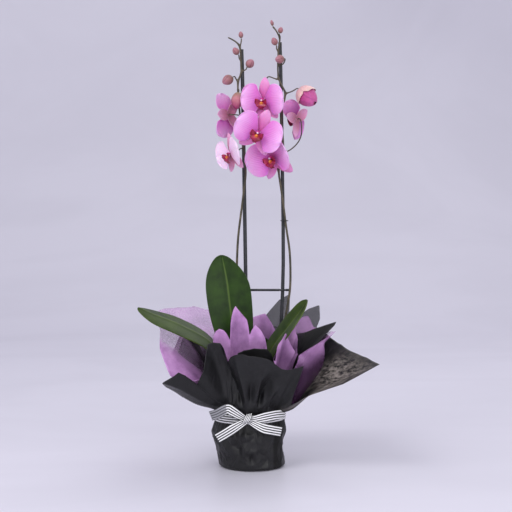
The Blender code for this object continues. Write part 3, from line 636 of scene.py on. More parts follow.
# %% Lilac tissue
def lilac_paper(name, sheer):
    made, tree, shader = new_finish(name, 0.62, Specular_IOR_Level=0.3)
    clouds = speckle(tree, own_place(tree), 42.0, 6.0, 0.65)
    fibres = speckle(tree, own_place(tree, (60.0, 50.0, 1.0), "UV"), 4.0, 4.0, 0.65)
    tone = ramp(tree, clouds, (0.30, paint(0.60, 0.38, 0.63)), (0.52, paint(0.77, 0.54, 0.80)),
                (0.72, paint(0.87, 0.66, 0.89)))
    colour = blend(tree, sums(tree, "MULTIPLY", fibres, 0.35), tone, paint(0.92, 0.76, 0.94))
    # painted shade: deep purple where the tissue lies in the wrap's depths and over the dark wing
    colour = blend(tree, attribute(tree, "shaded"), colour, paint(0.26, 0.14, 0.27))
    tree.links.new(colour, shader.inputs["Base Color"])
    loss = sums(tree, "MULTIPLY", sums(tree, "MULTIPLY_ADD", fibres, 0.5, 0.55),
                sums(tree, "MULTIPLY", attribute(tree, "thin"), sheer))
    tree.links.new(sums(tree, "SUBTRACT", 1.0, loss), shader.inputs["Alpha"])
    bump(tree, shader, clouds, 0.35, 0.0015)
    return made


black_finish = black_paper()
outer_lilac_finish = lilac_paper("lilac_tissue_single", 0.84)
inner_lilac_finish = lilac_paper("lilac_tissue_double", 0.22)

# %% Where the sheets let light through and where painted shade darkens them, at a turn in
# degrees and a share of the free paper from the shoulder (0) to the cut edge (1)
SPOKES = 420
SHEET_ROWS = 92
SHEETS = {
    "wrap_black_outer": (black_finish, "black_wrap", (0.40, 0.40)),
    "wrap_lilac_outer": (outer_lilac_finish, "lilac_wrap", (0.36, 0.36)),
    "wrap_black_inner": (black_finish, "black_wrap", (0.32, 0.32)),
    "wrap_lilac_inner": (inner_lilac_finish, "lilac_wrap", (0.31, 0.31)),
}


def wing_light(turn, free):
    """How far the right wing's pressed streaks let light through: painted pale, and a little
    see-through.
    """
    across = 0.8 * math.exp(-((free - 0.62) / 0.30) ** 2)
    return across * smooth_step(-49, -45, turn) * (1 - smooth_step(-20, -8, turn))


def sheet_shade(layer, turn, free):
    """How much painted shade a spot gets: in the wrap's depths, and on the lilac over the dark
    wing.
    """
    # every value here is painted shade for the finishes, not a change in the paper's own colour
    if layer == BLACK_OUTER:
        return between(-47, -30, 6, turn) * (1 - smooth_step(0.22, 0.50, free))
    if layer == LILAC_OUTER:
        wing = between(-50, 0, 10, turn) * (1 - smooth_step(0.66, 1.0, free))
        flap = between(-170, -127, 7, turn)
        return max(0.97 * wing, 0.45 * (1 - smooth_step(0.2, 0.9, free)) * (1 - flap))
    if layer == BLACK_INNER:
        return max(0.55 * between(-104, -60, 5, turn), 0.7 * between(-20, 30, 12, turn))
    inside = 1 - smooth_step(0.80, 0.98, free)
    return 0.42 * inside + 0.20 * (1 - smooth_step(0.3, 0.8, free))


def sheet_thinness(layer, turn, free):
    """How much shows through: 0 is two layers together, 1 is one layer that stands free. On the
    black sheets it also paints the colour greyer, as light coming through.
    """
    edge = smooth_step(0.15, 0.90, free)
    if layer in (BLACK_OUTER, BLACK_INNER):
        behind = smooth_step(16, 34, turn) * smooth_step(0.35, 0.9, edge)
        left = between(-168, -146, 6, turn) * smooth_step(0.2, 0.5, edge)
        return max(0.62 * behind, 1.25 * left if layer == BLACK_INNER else 0.0)
    wing = between(-42, -4, 10, turn) * smooth_step(0.04, 0.20, free)
    flap = between(-165, -127, 10, turn) if layer == LILAC_OUTER else 0.0
    return max(edge, wing) * (1 - 0.85 * flap)


# %% Make the four sheets
CRUSH_ENDS = (0.28, 0.45)                    # rows over which the pot's crumples grow weaker
for layer, (name, (finish, slot, flat)) in enumerate(SHEETS.items()):
    bm = grid(SPOKES, SHEET_ROWS, sheet_place(EDGES[name], layer))
    marks = {mark: bm.verts.layers.float.new(mark) for mark in ("thin", "shaded", "lit", "crush")}
    uv = bm.loops.layers.uv.verify()
    for face in bm.faces:
        for loop in face.loops:
            u, v = loop[uv].uv
            turn = u * 360.0 - 180.0
            free = (v - BODY_SHARE) / (1 - BODY_SHARE)
            loop.vert[marks["thin"]] = sheet_thinness(layer, turn, free)
            loop.vert[marks["shaded"]] = sheet_shade(layer, turn, free)
            loop.vert[marks["lit"]] = wing_light(turn, free) if layer == BLACK_OUTER else 0.0
            loop.vert[marks["crush"]] = 1 - 0.75 * smooth_step(*CRUSH_ENDS, v)
    towards(close_poles(bm), (0, 0, -1))
    piece(name + "_sheet", bm, finish, slot, [name], wall=SHEET_WALL, offset=-1.0)

# %% [markdown]
# ## The striped ribbon
# A grosgrain ribbon 15 mm wide goes once round the neck and is tied at the front, a little to
# the left. Its face has white and black stripes along it, and its back shows the same stripes
# in grey. Each stretch is a strip of grid that follows a smooth line, with its own width
# direction, so the stripes follow the strip's UV and never slide.

# %% Ribbon finish
STRIPES = 4                                  # white stripes across the ribbon


def ribbon_cloth():
    made, tree, shader = new_finish("striped_ribbon", 0.55, Sheen_Weight=0.25)
    across = own_grid(tree)[1]
    wave = sums(tree, "COSINE", sums(tree, "MULTIPLY", across, STRIPES * 2 * math.pi))
    stripe = ramp(tree, sums(tree, "MULTIPLY_ADD", wave, -0.5, 0.5), (0.40, 0.0), (0.54, 1.0))
    ribs = add(tree, "ShaderNodeTexWave", {"Vector": own_place(tree, (1.0, 0.0, 1.0), "UV"),
                                           "Scale": 60.0, "Distortion": 0.0}).outputs["Fac"]
    front = blend(tree, stripe, paint(0.05, 0.05, 0.06), paint(0.985, 0.985, 0.99))
    back = blend(tree, stripe, paint(0.34, 0.34, 0.36), paint(0.62, 0.62, 0.64))
    colour = blend(tree, attribute(tree, "back"), front, back)
    tree.links.new(colour, shader.inputs["Base Color"])
    bump(tree, shader, ribs, 0.35, 0.0002)
    return made


# %% Ribbon strips
RIBBON_WIDTH = band_high.z - band_low.z
RIBBON_WALL = 0.0004
RIBBON_Z = (band_high.z + band_low.z) / 2
BAND_GAP = 0.0007                            # from the neck to the band's middle
BACK_LEFT_OF = -0.036                        # the high left tail shows the ribbon's back,
BACK_ABOVE = 0.078                           # to the left of this and above this
ribbon_finish = ribbon_cloth()


def strip_place(points, widths, turns):
    """A strip along the points. Widths and the way across are read along its length."""
    line = [mm(*point) for point in points]
    ways = [Vector(turn) for turn in turns]

    def place(u, v):
        middle = smooth_point(line, u)
        ahead = smooth_point(line, u + 0.01) - smooth_point(line, u - 0.01)
        across = smooth_point(ways, u)
        across = (across - ahead * across.dot(ahead) / ahead.length_squared).normalized()
        width = read_table([(i / (len(widths) - 1), w) for i, w in enumerate(widths)], u)[0]
        cup = 0.0006 * math.sin(v * math.pi) * math.sin(u * 9.0)
        return middle + across * (v - 0.5) * width / 1000.0 + ahead.cross(across).normalized() * cup
    return place


def band_place(u, v):
    """Once round the neck, dipping a little at the left."""
    angle = 2 * math.pi * u
    dip = 0.0015 * math.cos(angle + 0.3)
    radius = NECK_R + BAND_GAP + 0.0002 * math.sin(9 * angle)
    return Vector((radius * math.cos(angle), radius * math.sin(angle),
                   RIBBON_Z + dip + (v - 0.5) * RIBBON_WIDTH * 0.98))


def mark_back(bm, turned):
    """Store on each corner whether the ribbon's grey back faces out there."""
    layer = bm.verts.layers.float.new("back")
    for vert in bm.verts:
        vert[layer] = float(turned(vert.co))


# %% The band
band = grid(160, 4, band_place)
mark_back(band, lambda corner: False)
towards(close_poles(band), (0, 0, 0))
ribbon_band = piece("ribbon_band_strip", band, ribbon_finish, "ribbon", ["ribbon_band"],
                    wall=RIBBON_WALL)

# %% The knot and its four tails: middle line and widths in millimetres, then the ways across
KNOT = ([(-7, -57, 75), (-7.5, -63, 78), (-5, -66, 83), (-2, -64, 89), (-1, -58, 92)],
        [9, 10, 9, 10, 9], [(1, 0, 0.35)] * 5)
TAILS = {
    "tail_left_high": (
        [(-6, -60, 84), (-16, -62, 90), (-27, -63, 97), (-33, -62, 100), (-40, -63, 98),
         (-50, -60, 92), (-60, -56, 88)],
        [8, 12, 15, 15, 15, 15, 15],
        [(0.2, 0, 1), (0.5, 0, 1), (0.5, 0, 1), (0.3, 0.3, 1), (-0.2, 0, 1), (-0.5, 0, 1),
         (-0.5, 0, 1)]),
    "tail_left_low": (
        [(-5, -61, 81), (-14, -65, 77), (-26, -66, 70), (-38, -64, 62), (-50, -59, 54)],
        [8, 12, 15, 15, 15],
        [(-0.3, 0, 1), (-0.5, 0, 1), (-0.55, 0, 1), (-0.55, 0, 1), (-0.5, 0, 1)]),
    "loop_right": (
        [(-1, -61, 83), (10, -64, 85), (24, -64, 88), (40, -57, 90), (52, -46, 89)],
        [8, 12, 15, 15, 15], [(0, 0, 1)] * 5),
    "tail_right_low": (
        [(-1, -61, 81), (10, -66, 76), (22, -68, 71), (34, -65, 68), (48, -57, 64)],
        [8, 12, 15, 15, 15],
        [(0.3, 0, 1), (0.4, 0.3, 1), (0.3, 0.2, 1), (0.1, 0, 1), (0.05, 0, 1)]),
}
bow = bmesh.new()
for tail in TAILS.values():
    grid(48, 6, strip_place(*tail), bow)
grid(24, 8, strip_place(*KNOT), bow)
mark_back(bow, lambda corner: corner.x < BACK_LEFT_OF and corner.z > BACK_ABOVE)
towards(bow, (0, -1, 0))
ribbon_bow = piece("ribbon_bow_strips", bow, ribbon_finish, "ribbon", ["ribbon_bow"],
                   wall=RIBBON_WALL)

# %% [markdown]
# ## Leaves
# A moth orchid's leaf is a thick, tough strap that folds a little along its midrib. The top is
# deep green and waxy, with the midrib as a paler groove. The grid runs along the leaf, its
# width comes from a few half widths, and a Solidify wall and one subdivision make it fleshy.

# %% Leaf finish
def leaf_skin(name, deep, bright, under):
    """Deep and bright greens in clouds, with a paler midrib and edge."""
    made, tree, shader = new_finish(name, 0.42, Specular_IOR_Level=0.22)
    across = own_grid(tree)[1]
    middle = sums(tree, "ABSOLUTE", sums(tree, "SUBTRACT", across, 0.5))
    clouds = speckle(tree, own_place(tree), 34.0, 4.0)
    lines = speckle(tree, own_place(tree, (3.0, 130.0, 1.0), "UV"), 1.0, 3.0)
    tone = ramp(tree, clouds, (0.30, deep), (0.72, bright))
    tone = blend(tree, sums(tree, "MULTIPLY", lines, 0.30), tone, deep)
    rib = ramp(tree, middle, (0.004, 1.0), (0.020, 0.0))
    tone = blend(tree, sums(tree, "MULTIPLY", rib, 0.45), tone, under)
    edge = ramp(tree, middle, (0.470, 0.0), (0.50, 1.0))
    tone = blend(tree, sums(tree, "MULTIPLY", edge, 0.35), tone, under)
    tree.links.new(tone, shader.inputs["Base Color"])
    height = sums(tree, "ADD", lines, sums(tree, "MULTIPLY", clouds, 0.6))
    bump(tree, shader, height, 0.25, 0.0006)
    return made


deep_leaf = leaf_skin("leaf_deep_green", paint(0.07, 0.15, 0.02), paint(0.19, 0.31, 0.06),
                      paint(0.38, 0.48, 0.19))
side_leaf = leaf_skin("leaf_grey_green", paint(0.12, 0.19, 0.03), paint(0.25, 0.33, 0.09),
                      paint(0.42, 0.49, 0.24))

# %% Leaf shapes: middle line and half widths in millimetres, then the way across the blade
LEAVES = {
    "leaf_tall": (
        [(-4, -14, 113), (-12, -18, 150), (-22, -19, 195), (-30, -17, 245), (-36, -11, 292),
         (-44, -4, 332)],
        [7, 16, 27, 34, 34, 25], (1.0, 0.10, 0.0), deep_leaf),
    "leaf_left": (
        [(-15, -2, 114), (-30, -8, 152), (-62, -15, 196), (-108, -24, 224), (-146, -30, 240),
         (-173, -32, 252)],
        [5, 14, 23, 26, 21, 14], (0.0, -0.93, -0.36), side_leaf),
    "leaf_right": (
        [(13, -6, 113), (19, -13, 145), (33, -20, 185), (58, -25, 220), (78, -24, 246),
         (89, -22, 263)],
        [5, 13, 20, 22, 18, 13], (0.33, -0.917, -0.23), side_leaf),
    "leaf_back": (
        [(9, 13.5, 113), (15, 24, 140), (20, 36, 168), (23, 43, 196)],
        [5, 13, 18, 14], (1.0, -0.30, 0.0), deep_leaf),
}
LEAF_WALL = 0.0020
LEAF_FOLD = 0.14                             # how far the sides rise, as a share of the width
LEAF_TIP = 0.72                              # where the blade starts to round off to its tip
MIDRIB = 0.0010                              # depth of the groove along the middle
LEAF_WAVE = 0.0012


def leaf_place(line, widths, across):
    middle = [mm(*point) for point in line]
    across = Vector(across).normalized()
    sizes = [Vector((width, 0.0, 0.0)) for width in widths]

    def place(u, v):
        side = math.sin((v - 0.5) * math.pi)
        ahead = smooth_point(middle, u + 0.02) - smooth_point(middle, u - 0.02)
        upward = across.cross(ahead).normalized()
        width = max(smooth_point(sizes, u).x, 0.2)
        width *= math.sqrt(max(1 - (max(u - LEAF_TIP, 0.0) / (1 - LEAF_TIP)) ** 2.2, 0.0004))
        width = width / 1000.0
        fold = abs(side) * LEAF_FOLD * width - MIDRIB * math.exp(-(side / 0.06) ** 2)
        wave = LEAF_WAVE * side * abs(side) * math.sin(7.0 * u + 2.0 * side)
        return smooth_point(middle, u) + across * side * width + upward * (fold + wave)
    return place


for name, (line, widths, across, finish) in LEAVES.items():
    bm = close_poles(grid(70, 22, leaf_place(line, widths, across)))
    towards(bm, Vector(across).cross(mm(*line[-1]) - mm(*line[0])))
    piece(name + "_blade", bm, finish, "leaf", [name], wall=LEAF_WALL, levels=1)

# %% [markdown]
# ## Open flowers
# A moth orchid's flower has three narrow sepals behind, two broad round petals in front of
# them, and in the middle a dark lip with a small column above it. The petals are thin, nearly
# white-pink towards the edge and deeper towards the middle, with fine veins that fan out from
# the claw. Petals and sepals are grids: one direction runs from the claw to the tip, the
# other across, and both edges meet in the claw. The CAD gives each flower its place and
# its turn, which are repeated in the table here.

# %% Petal, sepal, lip and column finishes
def petal_skin(name, middle, outer, edge, vein):
    """Deeper in the middle of the flower, paler to the edge, with veins along the petal."""
    made, tree, shader = new_finish(name, 0.50, Specular_IOR_Level=0.35, Sheen_Weight=0.20,
                                    Subsurface_Weight=0.12, Subsurface_Scale=0.004)
    along, across = own_grid(tree)
    off_middle = sums(tree, "ABSOLUTE", sums(tree, "SUBTRACT", across, 0.5))
    fan = add(tree, "ShaderNodeTexWave", {
        "Vector": own_place(tree, (1.2, 9.0, 1.0), "UV"), "Scale": 1.0, "Distortion": 2.2,
        "Detail": 2.0, "Detail Scale": 1.4}, bands_direction="Y").outputs["Fac"]
    lines = ramp(tree, fan, (0.80, 0.0), (0.97, 1.0))
    clouds = speckle(tree, own_place(tree), 70.0, 3.0)
    spread = sums(tree, "MULTIPLY_ADD", clouds, 0.20, along)
    tone = ramp(tree, spread, (0.10, middle), (0.48, outer), (0.95, edge))
    rim = ramp(tree, off_middle, (0.40, 0.0), (0.50, 0.7))
    tone = blend(tree, rim, tone, edge)
    share = sums(tree, "MULTIPLY", lines, sums(tree, "MULTIPLY_ADD", along, -0.45, 0.62))
    tone = blend(tree, share, tone, vein)
    tree.links.new(tone, shader.inputs["Base Color"])
    bump(tree, shader, sums(tree, "MULTIPLY_ADD", lines, -0.6, clouds), 0.35, 0.0004)
    return made


petal_pink = petal_skin("petal_pink", paint(0.69, 0.21, 0.58), paint(0.85, 0.45, 0.80),
                        paint(0.96, 0.74, 0.94), paint(0.64, 0.17, 0.53))
petal_pale = petal_skin("petal_pale", paint(0.93, 0.62, 0.86), paint(0.97, 0.82, 0.94),
                        paint(0.99, 0.88, 0.97), paint(0.86, 0.50, 0.76))
# painted shade: a darker copy of the pink petals, for flower_6, which faces away
petal_pink_painted_shade = petal_skin("petal_pink_painted_shade", paint(0.50, 0.13, 0.43), paint(0.66, 0.30, 0.62),
                        paint(0.94, 0.62, 0.88), paint(0.44, 0.08, 0.36))
sepal_pink = petal_skin("sepal_pink", paint(0.76, 0.30, 0.60), paint(0.82, 0.42, 0.70),
                        paint(0.90, 0.60, 0.82), paint(0.62, 0.18, 0.46))
sepal_brown = petal_skin("sepal_back_brown", paint(0.66, 0.36, 0.46), paint(0.80, 0.50, 0.64),
                         paint(0.92, 0.66, 0.82), paint(0.54, 0.24, 0.38))


def lip_skin():
    made, tree, shader = new_finish("lip_dark_red", 0.38, Specular_IOR_Level=0.5,
                                    Coat_Weight=0.15, Coat_Roughness=0.3)
    glow = attribute(tree, "glow")
    clouds = speckle(tree, own_place(tree), 260.0, 3.0)
    tone = ramp(tree, clouds, (0.35, paint(0.42, 0.0, 0.15)), (0.65, paint(0.68, 0.04, 0.30)))
    orange = ramp(tree, clouds, (0.42, paint(0.80, 0.30, 0.10)), (0.58, paint(0.93, 0.62, 0.20)))
    tree.links.new(blend(tree, glow, tone, orange), shader.inputs["Base Color"])
    bump(tree, shader, clouds, 0.3, 0.0003)
    return made


def column_skin():
    made, tree, shader = new_finish("column_magenta", 0.40, Specular_IOR_Level=0.5,
                                    Subsurface_Weight=0.15, Subsurface_Scale=0.003)
    glow = attribute(tree, "glow")
    tone = blend(tree, glow, paint(0.76, 0.20, 0.52), paint(0.98, 0.90, 0.96))
    tree.links.new(tone, shader.inputs["Base Color"])
    return made


lip_finish = lip_skin()
column_finish = column_skin()

# %% Where the flowers are: middle in millimetres, turn, droop, roll, size, how hollow, finishes
FLOWERS = {
    "flower_1": ((22, -27, 571), -26, 6, 3, 0.96, 0.10, petal_pink, sepal_pink),
    "flower_2": ((14, -48, 521), -12, 8, 24, 1.02, 0.10, petal_pink, sepal_pink),
    "flower_3": ((36, -20, 484), -34, 12, -14, 1.06, 0.36, petal_pink, sepal_pink),
    "flower_4": ((-34, -8, 549), -122, 4, 90, 0.92, 0.15, petal_pink, sepal_brown),
    "flower_5": ((-28, -26, 489), -58, 10, -10, 0.90, 0.10, petal_pale, sepal_brown),
    "flower_6": ((73, 5, 543), -128, 4, -60, 0.84, 0.15, petal_pink_painted_shade, sepal_brown),
}
SEPAL_ANGLES = (90, -52, -128)
SEPAL_LONG = 36.0
SEPAL_HALF = 10.0
PETAL_MIDDLE = 19.8
PETAL_REACH = 17.5
PETAL_HALF = 24.5
PETAL_NECK = 18.0
PETAL_TILT = 5
LIP_WALL = 0.0008
LIP_SIZE = 1.25
LIP_ROOT = mm(0, -3.4, 7.6)
SKIN_WALL = 0.0005


def flower_matrix(place, turn, droop, roll, size):
    """From the flower's own frame, x right, y up and z forward, to the model's frame."""
    return (Matrix.Translation(mm(*place))
            @ Matrix.Rotation(math.radians(turn), 4, "Z")
            @ Matrix.Rotation(math.radians(90 + droop), 4, "X")
            @ Matrix.Rotation(math.radians(-roll), 4, "Z")
            @ Matrix.Scale(size, 4))


# %% Sepals and petals
def sepal_place(way, phase):
    """From the middle (u = 0) to the tip, with its sides bent back."""
    way = math.radians(way)

    def place(u, v):
        side = math.sin((v - 0.5) * math.pi)
        along = SEPAL_LONG * (0.02 + 0.98 * u)
        shape = math.sin(math.pi * min(u * 0.88 + 0.12, 1.0)) ** 0.62
        across = side * SEPAL_HALF * shape
        back = -3.0 * u * u - 1.4 * side * side * shape + 0.5 * math.exp(-(side / 0.10) ** 2)
        back += 0.5 * math.sin(6 * u + phase + 3 * side) * u
        return mm(along * math.cos(way) - across * math.sin(way),
                  along * math.sin(way) + across * math.cos(way), back)
    return place


def petal_place(side, phase, hollow):
    """The petal's grid runs from the claw outwards, and its two edges meet at both ends."""
    tilt = math.radians(PETAL_TILT) * side

    def place(u, v):
        turn = math.pi * u
        reach = math.sin(turn) ** 0.85
        along = PETAL_MIDDLE - PETAL_REACH * math.cos(turn)
        narrow = min(1.0, 0.25 + along / PETAL_NECK)
        half = PETAL_HALF * reach * narrow
        share = (v - 0.5) * 2
        across = half * math.sin(share * math.pi / 2)
        level = 2.4 + 1.25 * along / PETAL_MIDDLE - 1.5 * (across / PETAL_HALF) ** 2
        level += hollow * along
        cup = 2.0 * (abs(share) ** 3) * reach * math.sin(3.1 * share + phase)
        cup += 1.1 * math.sin(5.2 * u + phase) * share
        cup += -0.9 * math.exp(-(share / 0.07) ** 2) * (1 - u)
        edge = 1.5 * smooth_step(0.55, 1.0, u) * math.sin(8.0 * share + phase)
        edge += 0.8 * smooth_step(0.6, 1.0, abs(share)) * math.sin(11.0 * u + phase)
        x = side * along
        return mm(x * math.cos(tilt) - across * math.sin(tilt),
                  x * math.sin(tilt) + across * math.cos(tilt), level + cup * 0.8 + edge)
    return place


# %% The lip: a forked middle lobe, two side lobes that stand up, and a callus
def middle_lobe(u, v):
    """A short arrow head that bends down and forward, and spreads a little at its tip."""
    share = (v - 0.5) * 2
    width = read_table([(0, 1.6), (0.12, 2.4), (0.34, 6.9), (0.50, 7.0), (0.66, 4.6),
                        (0.86, 2.1), (1, 0.8)], u)[0]
    fork = 1.8 * smooth_step(0.85, 1.0, u) * share
    x = share * width + fork
    y = -2.2 - 11.6 * u + 1.1 * u * u
    z = 8.0 + 4.6 * math.sin(u * 2.5) - 1.8 * u * u - 0.9 * abs(share) * (1 - u)
    return mm(x, y, z)


def side_lobe(side):
    """A small ear that stands up and forward beside the column."""
    def place(u, v):
        share = (v - 0.5) * 2
        width = 4.2 * math.sin(math.pi * min(0.12 + 0.86 * u, 1.0)) ** 0.6
        x = side * (1.6 + 6.2 * math.sin(u * 1.8) - 0.10 * share * width)
        y = -4.2 + 3.2 * u + share * width * 0.9
        z = 8.2 + 4.4 * u + 0.9 * share * share * u
        return mm(x, y, z)
    return place


def callus_place(u, v):
    """The little knob on the lip's root."""
    turn = 2 * math.pi * u
    rise = math.pi * (v - 0.5)
    return mm(1.4 * math.cos(turn) * math.cos(rise), -4.0 + 1.2 * math.sin(rise),
              10.4 + 1.5 * math.sin(turn) * math.cos(rise))


def glowing(bm, start, share=1.0, point=None, reach=None):
    """Mark the corners made after start as glowing, all of them or those near a point."""
    layer = bm.verts.layers.float["glow"]
    bm.verts.ensure_lookup_table()
    for vert in bm.verts[start:]:
        near = 1.0 if point is None else 1 - smooth_step(0.4 * reach, reach,
                                                         (vert.co - point).length)
        vert[layer] = share * near


def lip_mesh():
    bm = bmesh.new()
    bm.verts.layers.float.new("glow")
    grid(22, 12, middle_lobe, bm)
    for side in (-1, 1):
        grid(14, 8, side_lobe(side), bm)
    glowing(bm, 0, 0.75, mm(0, -4.6, 10.2), 0.0030)
    start = len(bm.verts)
    grid(14, 10, callus_place, bm)
    glowing(bm, start)
    return close_poles(bm)


def column_mesh():
    """A stubby column with a pale cap at its front end."""
    bm = bmesh.new()
    bm.verts.layers.float.new("glow")

    def place(u, v):
        turn = 2 * math.pi * u
        share = math.sin(math.pi * min(max(v, 0.0), 1.0)) ** 0.55
        z = 2.9 + 9.0 * v
        thick = 1.9 + 0.9 * v
        return mm(thick * share * math.cos(turn), 1.2 + thick * share * math.sin(turn)
                  - 1.2 * v * v, z)
    grid(20, 16, place, bm)
    glowing(bm, 0, 0.9, mm(0, -0.6, 12.2), 0.0030)
    return close_poles(bm)


# %% Make the six flowers
for index, (name, row) in enumerate(FLOWERS.items()):
    centre, turn, droop, roll, size, hollow, skin, back_skin = row
    matrix = flower_matrix(centre, turn, droop, roll, size)
    face_way = matrix.to_3x3() @ Vector((0, 0, 1))
    sepals = bmesh.new()
    for number, way in enumerate(SEPAL_ANGLES):
        grid(26, 14, sepal_place(way, index + number), sepals)
    close_poles(sepals)
    sepals.transform(matrix)
    towards(sepals, face_way)
    piece(name + "_three_sepals", sepals, back_skin, "sepal", [name + "_sepals"], wall=SKIN_WALL)
    for side, word in ((-1, "left"), (1, "right")):
        petal = close_poles(grid(34, 30, petal_place(side, index * 1.3 + side, hollow)))
        petal.transform(matrix)
        towards(petal, face_way)
        piece(f"{name}_{word}_petal_skin", petal, skin, "petal", [f"{name}_petal_{word}"],
              wall=SKIN_WALL)
    lip = lip_mesh()
    lip.transform(matrix @ Matrix.Translation(LIP_ROOT) @ Matrix.Scale(LIP_SIZE, 4)
                  @ Matrix.Translation(-LIP_ROOT))
    bmesh.ops.recalc_face_normals(lip, faces=lip.faces)
    piece(name + "_forked_lip", lip, lip_finish, "lip", [name + "_lip"], wall=LIP_WALL)
    column = column_mesh()
    column.transform(matrix)
    bmesh.ops.recalc_face_normals(column, faces=column.faces)
    piece(name + "_capped_column", column, column_finish, "column", [name + "_column"])

# %% [markdown]
# ## Buds and the opening flower
# A bud is closed by its sepals, whose edges meet in seams from the stalk to the tip. The
# seams are dents in a smooth egg. The lowest bud of the right spike is opening: pale sepals
# stand round the deep magenta petals inside them.

# %% Bud finishes
def bud_skin(name, low, middle, tip):
    """Three tones from the stalk to the tip, with darker seams."""
    made, tree, shader = new_finish(name, 0.48, Specular_IOR_Level=0.4, Sheen_Weight=0.1,
                                    Subsurface_Weight=0.08, Subsurface_Scale=0.003)
    up = own_grid(tree)[1]
    clouds = speckle(tree, own_place(tree), 130.0, 4.0)
    spread = sums(tree, "MULTIPLY_ADD", sums(tree, "SUBTRACT", clouds, 0.5), 0.45, up)
    tone = ramp(tree, spread, (0.12, low), (0.50, middle), (0.88, tip))
    seam = attribute(tree, "seam")
    tone = blend(tree, sums(tree, "MULTIPLY", seam, 0.7), tone, paint(0.30, 0.12, 0.16))
    tree.links.new(tone, shader.inputs["Base Color"])
    bump(tree, shader, clouds, 0.3, 0.0005)
    return made


bud_finish = bud_skin("bud_brown_pink", paint(0.42, 0.33, 0.26), paint(0.60, 0.40, 0.42),
                      paint(0.66, 0.44, 0.50))
big_bud_finish = bud_skin("bud_large", paint(0.50, 0.44, 0.32), paint(0.72, 0.46, 0.50),
                          paint(0.62, 0.20, 0.42))

# %% Buds: middle, half length and radius in millimetres, then the way the tip points
BUDS = {
    "bud_left_1": ((-19.5, -7.5, 571), 13.8, 9.7, (-0.15, -0.35, -1.0)),
    "bud_left_2": ((-34.5, 2, 603.5), 9.4, 7.8, (-0.80, -0.25, -0.45)),
    "bud_left_3": ((0.2, 1, 629), 7.6, 6.6, (0.5, -0.5, 0.6)),
    "bud_left_4": ((-21.8, 2, 648), 6.4, 5.2, (-0.5, -0.3, 0.7)),
    "bud_left_5": ((-14, 5, 673.5), 5.2, 3.7, (-0.1, -0.1, 1.0)),
    "bud_right_1": ((46, -4, 635), 7.6, 6.6, (-0.8, -0.5, -0.1)),
    "bud_right_2": ((38, 2, 663), 6.4, 5.0, (-0.4, -0.3, 0.85)),
    "bud_right_3": ((47.5, 5, 680.5), 5.0, 4.0, (0.3, -0.1, 0.95)),
    "bud_right_4": ((34.2, 7, 692), 4.6, 2.6, (-0.3, -0.1, 1.0)),
}
BUD_POINT = 0.22                             # how much narrower the tip's half is
BUD_SEAMS = 3
SEAM_DEPTH = 0.075                           # as a share of the radius
SEAM_WIDE = 0.13


def along_way(way):
    """The turn from straight up to the way."""
    return Vector((0, 0, 1)).rotation_difference(Vector(way).normalized()).to_matrix().to_4x4()


def bud_mesh(half, radius, phase):
    """An egg with seams, which also stores how deep each corner lies in a seam."""
    bm = bmesh.new()
    seam_layer = bm.verts.layers.float.new("seam")
    depth = {}

    def place(u, v):
        turn = 2 * math.pi * u
        height = -math.cos(math.pi * v)
        narrow = 1.0 - BUD_POINT * max(height, 0.0)
        near = abs(math.sin(turn * BUD_SEAMS / 2 + phase + 0.5 * height))
        dent = math.exp(-(near / SEAM_WIDE) ** 2) * smooth_step(-0.55, 0.2, height)
        swell = 1.0 - SEAM_DEPTH * dent + 0.03 * near
        ring = math.sin(math.pi * v) * radius * narrow * swell
        spot = mm(ring * math.cos(turn), ring * math.sin(turn), height * half)
        depth[tuple(round(value, 9) for value in spot)] = dent
        return spot
    grid(48, 28, place, bm)
    for vert in bm.verts:
        vert[seam_layer] = depth.get(tuple(round(value, 9) for value in vert.co), 0.0)
    return close_poles(bm)


for index, (name, (centre, half, radius, way)) in enumerate(BUDS.items()):
    bm = bud_mesh(half, radius, index * 0.9)
    bm.transform(Matrix.Translation(mm(*centre)) @ along_way(way))
    bmesh.ops.recalc_face_normals(bm, faces=bm.faces)
    finish = big_bud_finish if name == "bud_left_1" else bud_finish
    piece(name + "_closed", bm, finish, "bud", [name])

# %% The opening flower: three magenta petals as a cup, and three pale sepals round them
cup_finish = petal_skin("opening_magenta", paint(0.40, 0.05, 0.24), paint(0.66, 0.16, 0.46),
                        paint(0.80, 0.36, 0.62), paint(0.36, 0.03, 0.20))
peach_finish = petal_skin("opening_peach", paint(0.66, 0.40, 0.46), paint(0.88, 0.66, 0.68),
                          paint(0.90, 0.74, 0.72), paint(0.70, 0.42, 0.50))
OPENING_MIDDLE = (88.5, -6, 577.5)
OPENING_HALF = 18.5                          # half its length
OPENING_R = 17.5
OPENING_WAY = (0.65, -0.45, -0.6)            # the way its tip points
OPENING_FLARE = 5.0


def cup_leaf(start, width, inner, reach, lean):
    """One petal of a half open bud: a slice of an egg from the stalk to near its tip."""
    def place(u, v):
        share = (v - 0.5) * 2
        height = -1.0 + reach * u
        ring = math.sqrt(max(1.0 - height * height, 0.0)) * inner
        ring *= 1.0 - BUD_POINT * max(height, 0.0) * (1 - lean)
        shape = math.sin(math.pi * min(u * 0.80 + 0.06, 1.0)) ** 0.5
        turn = math.radians(start) + math.radians(width) * share * max(shape, 0.12)
        flare = lean * OPENING_FLARE * smooth_step(0.5, 1.0, u)
        lip = 0.35 * math.sin(7 * share + start) * u
        away = ring * OPENING_R + flare + lip
        return mm(away * math.cos(turn), away * math.sin(turn), height * OPENING_HALF)
    return place


def opening_piece(name, leaves, rows, finish, stands_for):
    """Petals or sepals of the opening flower, one grid each."""
    bm = bmesh.new()
    for leaf in leaves:
        grid(26, rows, cup_leaf(*leaf), bm)
    bm.transform(Matrix.Translation(mm(*OPENING_MIDDLE)) @ along_way(OPENING_WAY))
    bmesh.ops.recalc_face_normals(bm, faces=bm.faces)
    piece(name, bm, finish, "bud", stands_for, wall=SKIN_WALL)


